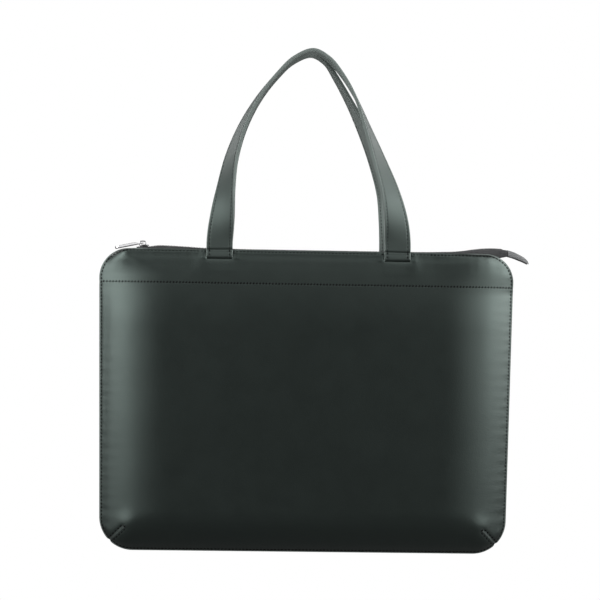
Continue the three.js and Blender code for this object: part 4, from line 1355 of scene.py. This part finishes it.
class LAPTOPBAG_OT_walls(bpy.types.Operator):
    """Makes the front and back panels and yokes as sewn leather shells"""

    bl_idname = "laptopbag.walls"
    bl_label = "Leather walls"

    def execute(self, context):
        colours = context.scene.bag_colours
        leather = leather_finish("body_leather", colours.leather, colours.edge, colours.gloss, BODY_GRAIN)
        for side, is_back in SIDES:
            for part, wall_of in (("panel", panel_wall), ("yoke", yoke_wall)):
                solid = sided(wall_of(strap_reaches(is_back)), is_back)
                dressed(f"{side}_{part}_leather", solid, "bag", "body_leather", leather, f"{side}_{part}")
        return {"FINISHED"}


class LAPTOPBAG_OT_straps(bpy.types.Operator):
    """Makes the two twisted strap handles"""

    bl_idname = "laptopbag.straps"
    bl_label = "Strap handles"

    def execute(self, context):
        colours = context.scene.bag_colours
        gloss = colours.strap_gloss
        leather = leather_finish("strap_leather", colours.strap, colours.edge, gloss, STRAP_GRAIN)
        inset = context.scene.bag_stitches.strap_inset / MM
        for side, is_back in SIDES:
            solid = sided(strap_solid(is_back, inset), is_back)
            dressed(f"{side}_strap_leather", solid, "bag", "strap_leather", leather, f"{side}_handle")
        return {"FINISHED"}


class LAPTOPBAG_OT_stitching(bpy.types.Operator):
    """Sews the walls and the straps"""

    bl_idname = "laptopbag.stitching"
    bl_label = "Stitching"

    def execute(self, context):
        thread = thread_finish("thread", context.scene.bag_colours.thread)
        size = context.scene.bag_stitches.in_mm()
        for side, is_back in SIDES:
            walls = sided(wall_stitching(strap_reaches(is_back), size), is_back)
            dressed(f"{side}_wall_stitches", walls, "bag", "body_leather", thread)
            straps = sided(strap_stitching(is_back, size), is_back)
            dressed(f"{side}_strap_stitches", straps, "bag", "strap_leather", thread)
        return {"FINISHED"}


class LAPTOPBAG_OT_zip(bpy.types.Operator):
    """Makes the zip's tapes, coil rows and end tab"""

    bl_idname = "laptopbag.zip"
    bl_label = "Zip"

    def execute(self, context):
        colours, sizes = context.scene.bag_colours, context.scene.bag_zip
        weave = woven_finish("tape_weave", colours.tape, sizes.yarn, 0.8)
        nylon = nylon_finish("coil_nylon", colours.coil)
        tab = woven_finish("tab_weave", colours.tab, sizes.tab_yarn, 0.75)
        for side, is_back in SIDES:
            tape = sided(tape_solid(), is_back)
            dressed(f"{side}_tape_weave", tape, "bag", "zip_tape", weave, f"zip_tape_{side}")
            coil = sided(coil_solid(sizes.coil_pitch / MM), is_back)
            dressed(f"{side}_coil_turns", coil, "bag", "zip_coil", nylon, f"zip_coil_{side}")
        dressed("tail_tab", tail_solid(), "bag", "end_tab", tab, "zip_tail")
        return {"FINISHED"}


class LAPTOPBAG_OT_slider(bpy.types.Operator):
    """Makes the zip's slider and its pull"""

    bl_idname = "laptopbag.slider"
    bl_label = "Slider and pull"

    def execute(self, context):
        metal = context.scene.bag_colours.nickel
        nickel = nickel_finish("polished_nickel", metal)
        # The slider gets a darker copy of the pull's nickel: painted shade.
        shaded_slider_nickel = nickel_finish("shaded_nickel", shade(metal, SLIDER_PAINTED_SHADE))
        dressed("slider_nickel", slider_solid(), "bag", "nickel", shaded_slider_nickel, "zip_slider")
        dressed("pull_nickel", pull_solid(), "pull", "nickel", nickel, "zip_pull")
        return {"FINISHED"}


class LAPTOPBAG_OT_stage(bpy.types.Operator):
    """Sets up the floor, the soft boxes, the surround and the camera"""

    bl_idname = "laptopbag.stage"
    bl_label = "Studio"

    def execute(self, context):
        bag = grouped("bag", [piece for piece in bpy.data.objects if piece.type == "MESH"])
        sweep(tuple(context.scene.bag_colours.floor))
        for row in SOFT_BOXES:
            soft_box(*row)
        for *row, pieces in CARDS:
            linking = soft_box(*row).light_linking
            linking.receiver_collection = grouped(row[0], [bpy.data.objects[piece] for piece in pieces])
            linking.blocker_collection = bag
        studio_world()
        studio_camera()
        context.scene.view_settings.view_transform = "Standard"
        return {"FINISHED"}


class LAPTOPBAG_PT_panel(bpy.types.Panel):
    """Lists the bag's settings and its pieces"""

    bl_idname = "LAPTOPBAG_PT_panel"
    bl_label = "Laptop Bag"
    bl_space_type = "VIEW_3D"
    bl_region_type = "UI"
    bl_category = "Laptop Bag"

    def draw(self, context):
        for group in (context.scene.bag_stitches, context.scene.bag_zip, context.scene.bag_colours):
            box = self.layout.box()
            for field in group.__annotations__:
                box.prop(group, field)
        for operator in OPERATORS:
            self.layout.operator(operator.bl_idname)


OPERATORS = (
    LAPTOPBAG_OT_walls, LAPTOPBAG_OT_straps, LAPTOPBAG_OT_stitching, LAPTOPBAG_OT_zip, LAPTOPBAG_OT_slider,
    LAPTOPBAG_OT_stage,
)
CLASSES = (StitchSizes, ZipSizes, BagColours, *OPERATORS, LAPTOPBAG_PT_panel)


def register():
    """Adds the classes and the scene's settings."""
    for made in CLASSES:
        bpy.utils.register_class(made)
    bpy.types.Scene.bag_stitches = bpy.props.PointerProperty(type=StitchSizes)
    bpy.types.Scene.bag_zip = bpy.props.PointerProperty(type=ZipSizes)
    bpy.types.Scene.bag_colours = bpy.props.PointerProperty(type=BagColours)


def unregister():
    """Takes the settings and the classes away again."""
    del bpy.types.Scene.bag_stitches
    del bpy.types.Scene.bag_zip
    del bpy.types.Scene.bag_colours
    for made in reversed(CLASSES):
        bpy.utils.unregister_class(made)


def main():
    """Makes every piece and the studio."""
    register()
    bpy.ops.laptopbag.walls()
    bpy.ops.laptopbag.straps()
    bpy.ops.laptopbag.stitching()
    bpy.ops.laptopbag.zip()
    bpy.ops.laptopbag.slider()
    bpy.ops.laptopbag.stage()


if __name__ == "__main__":
    main()
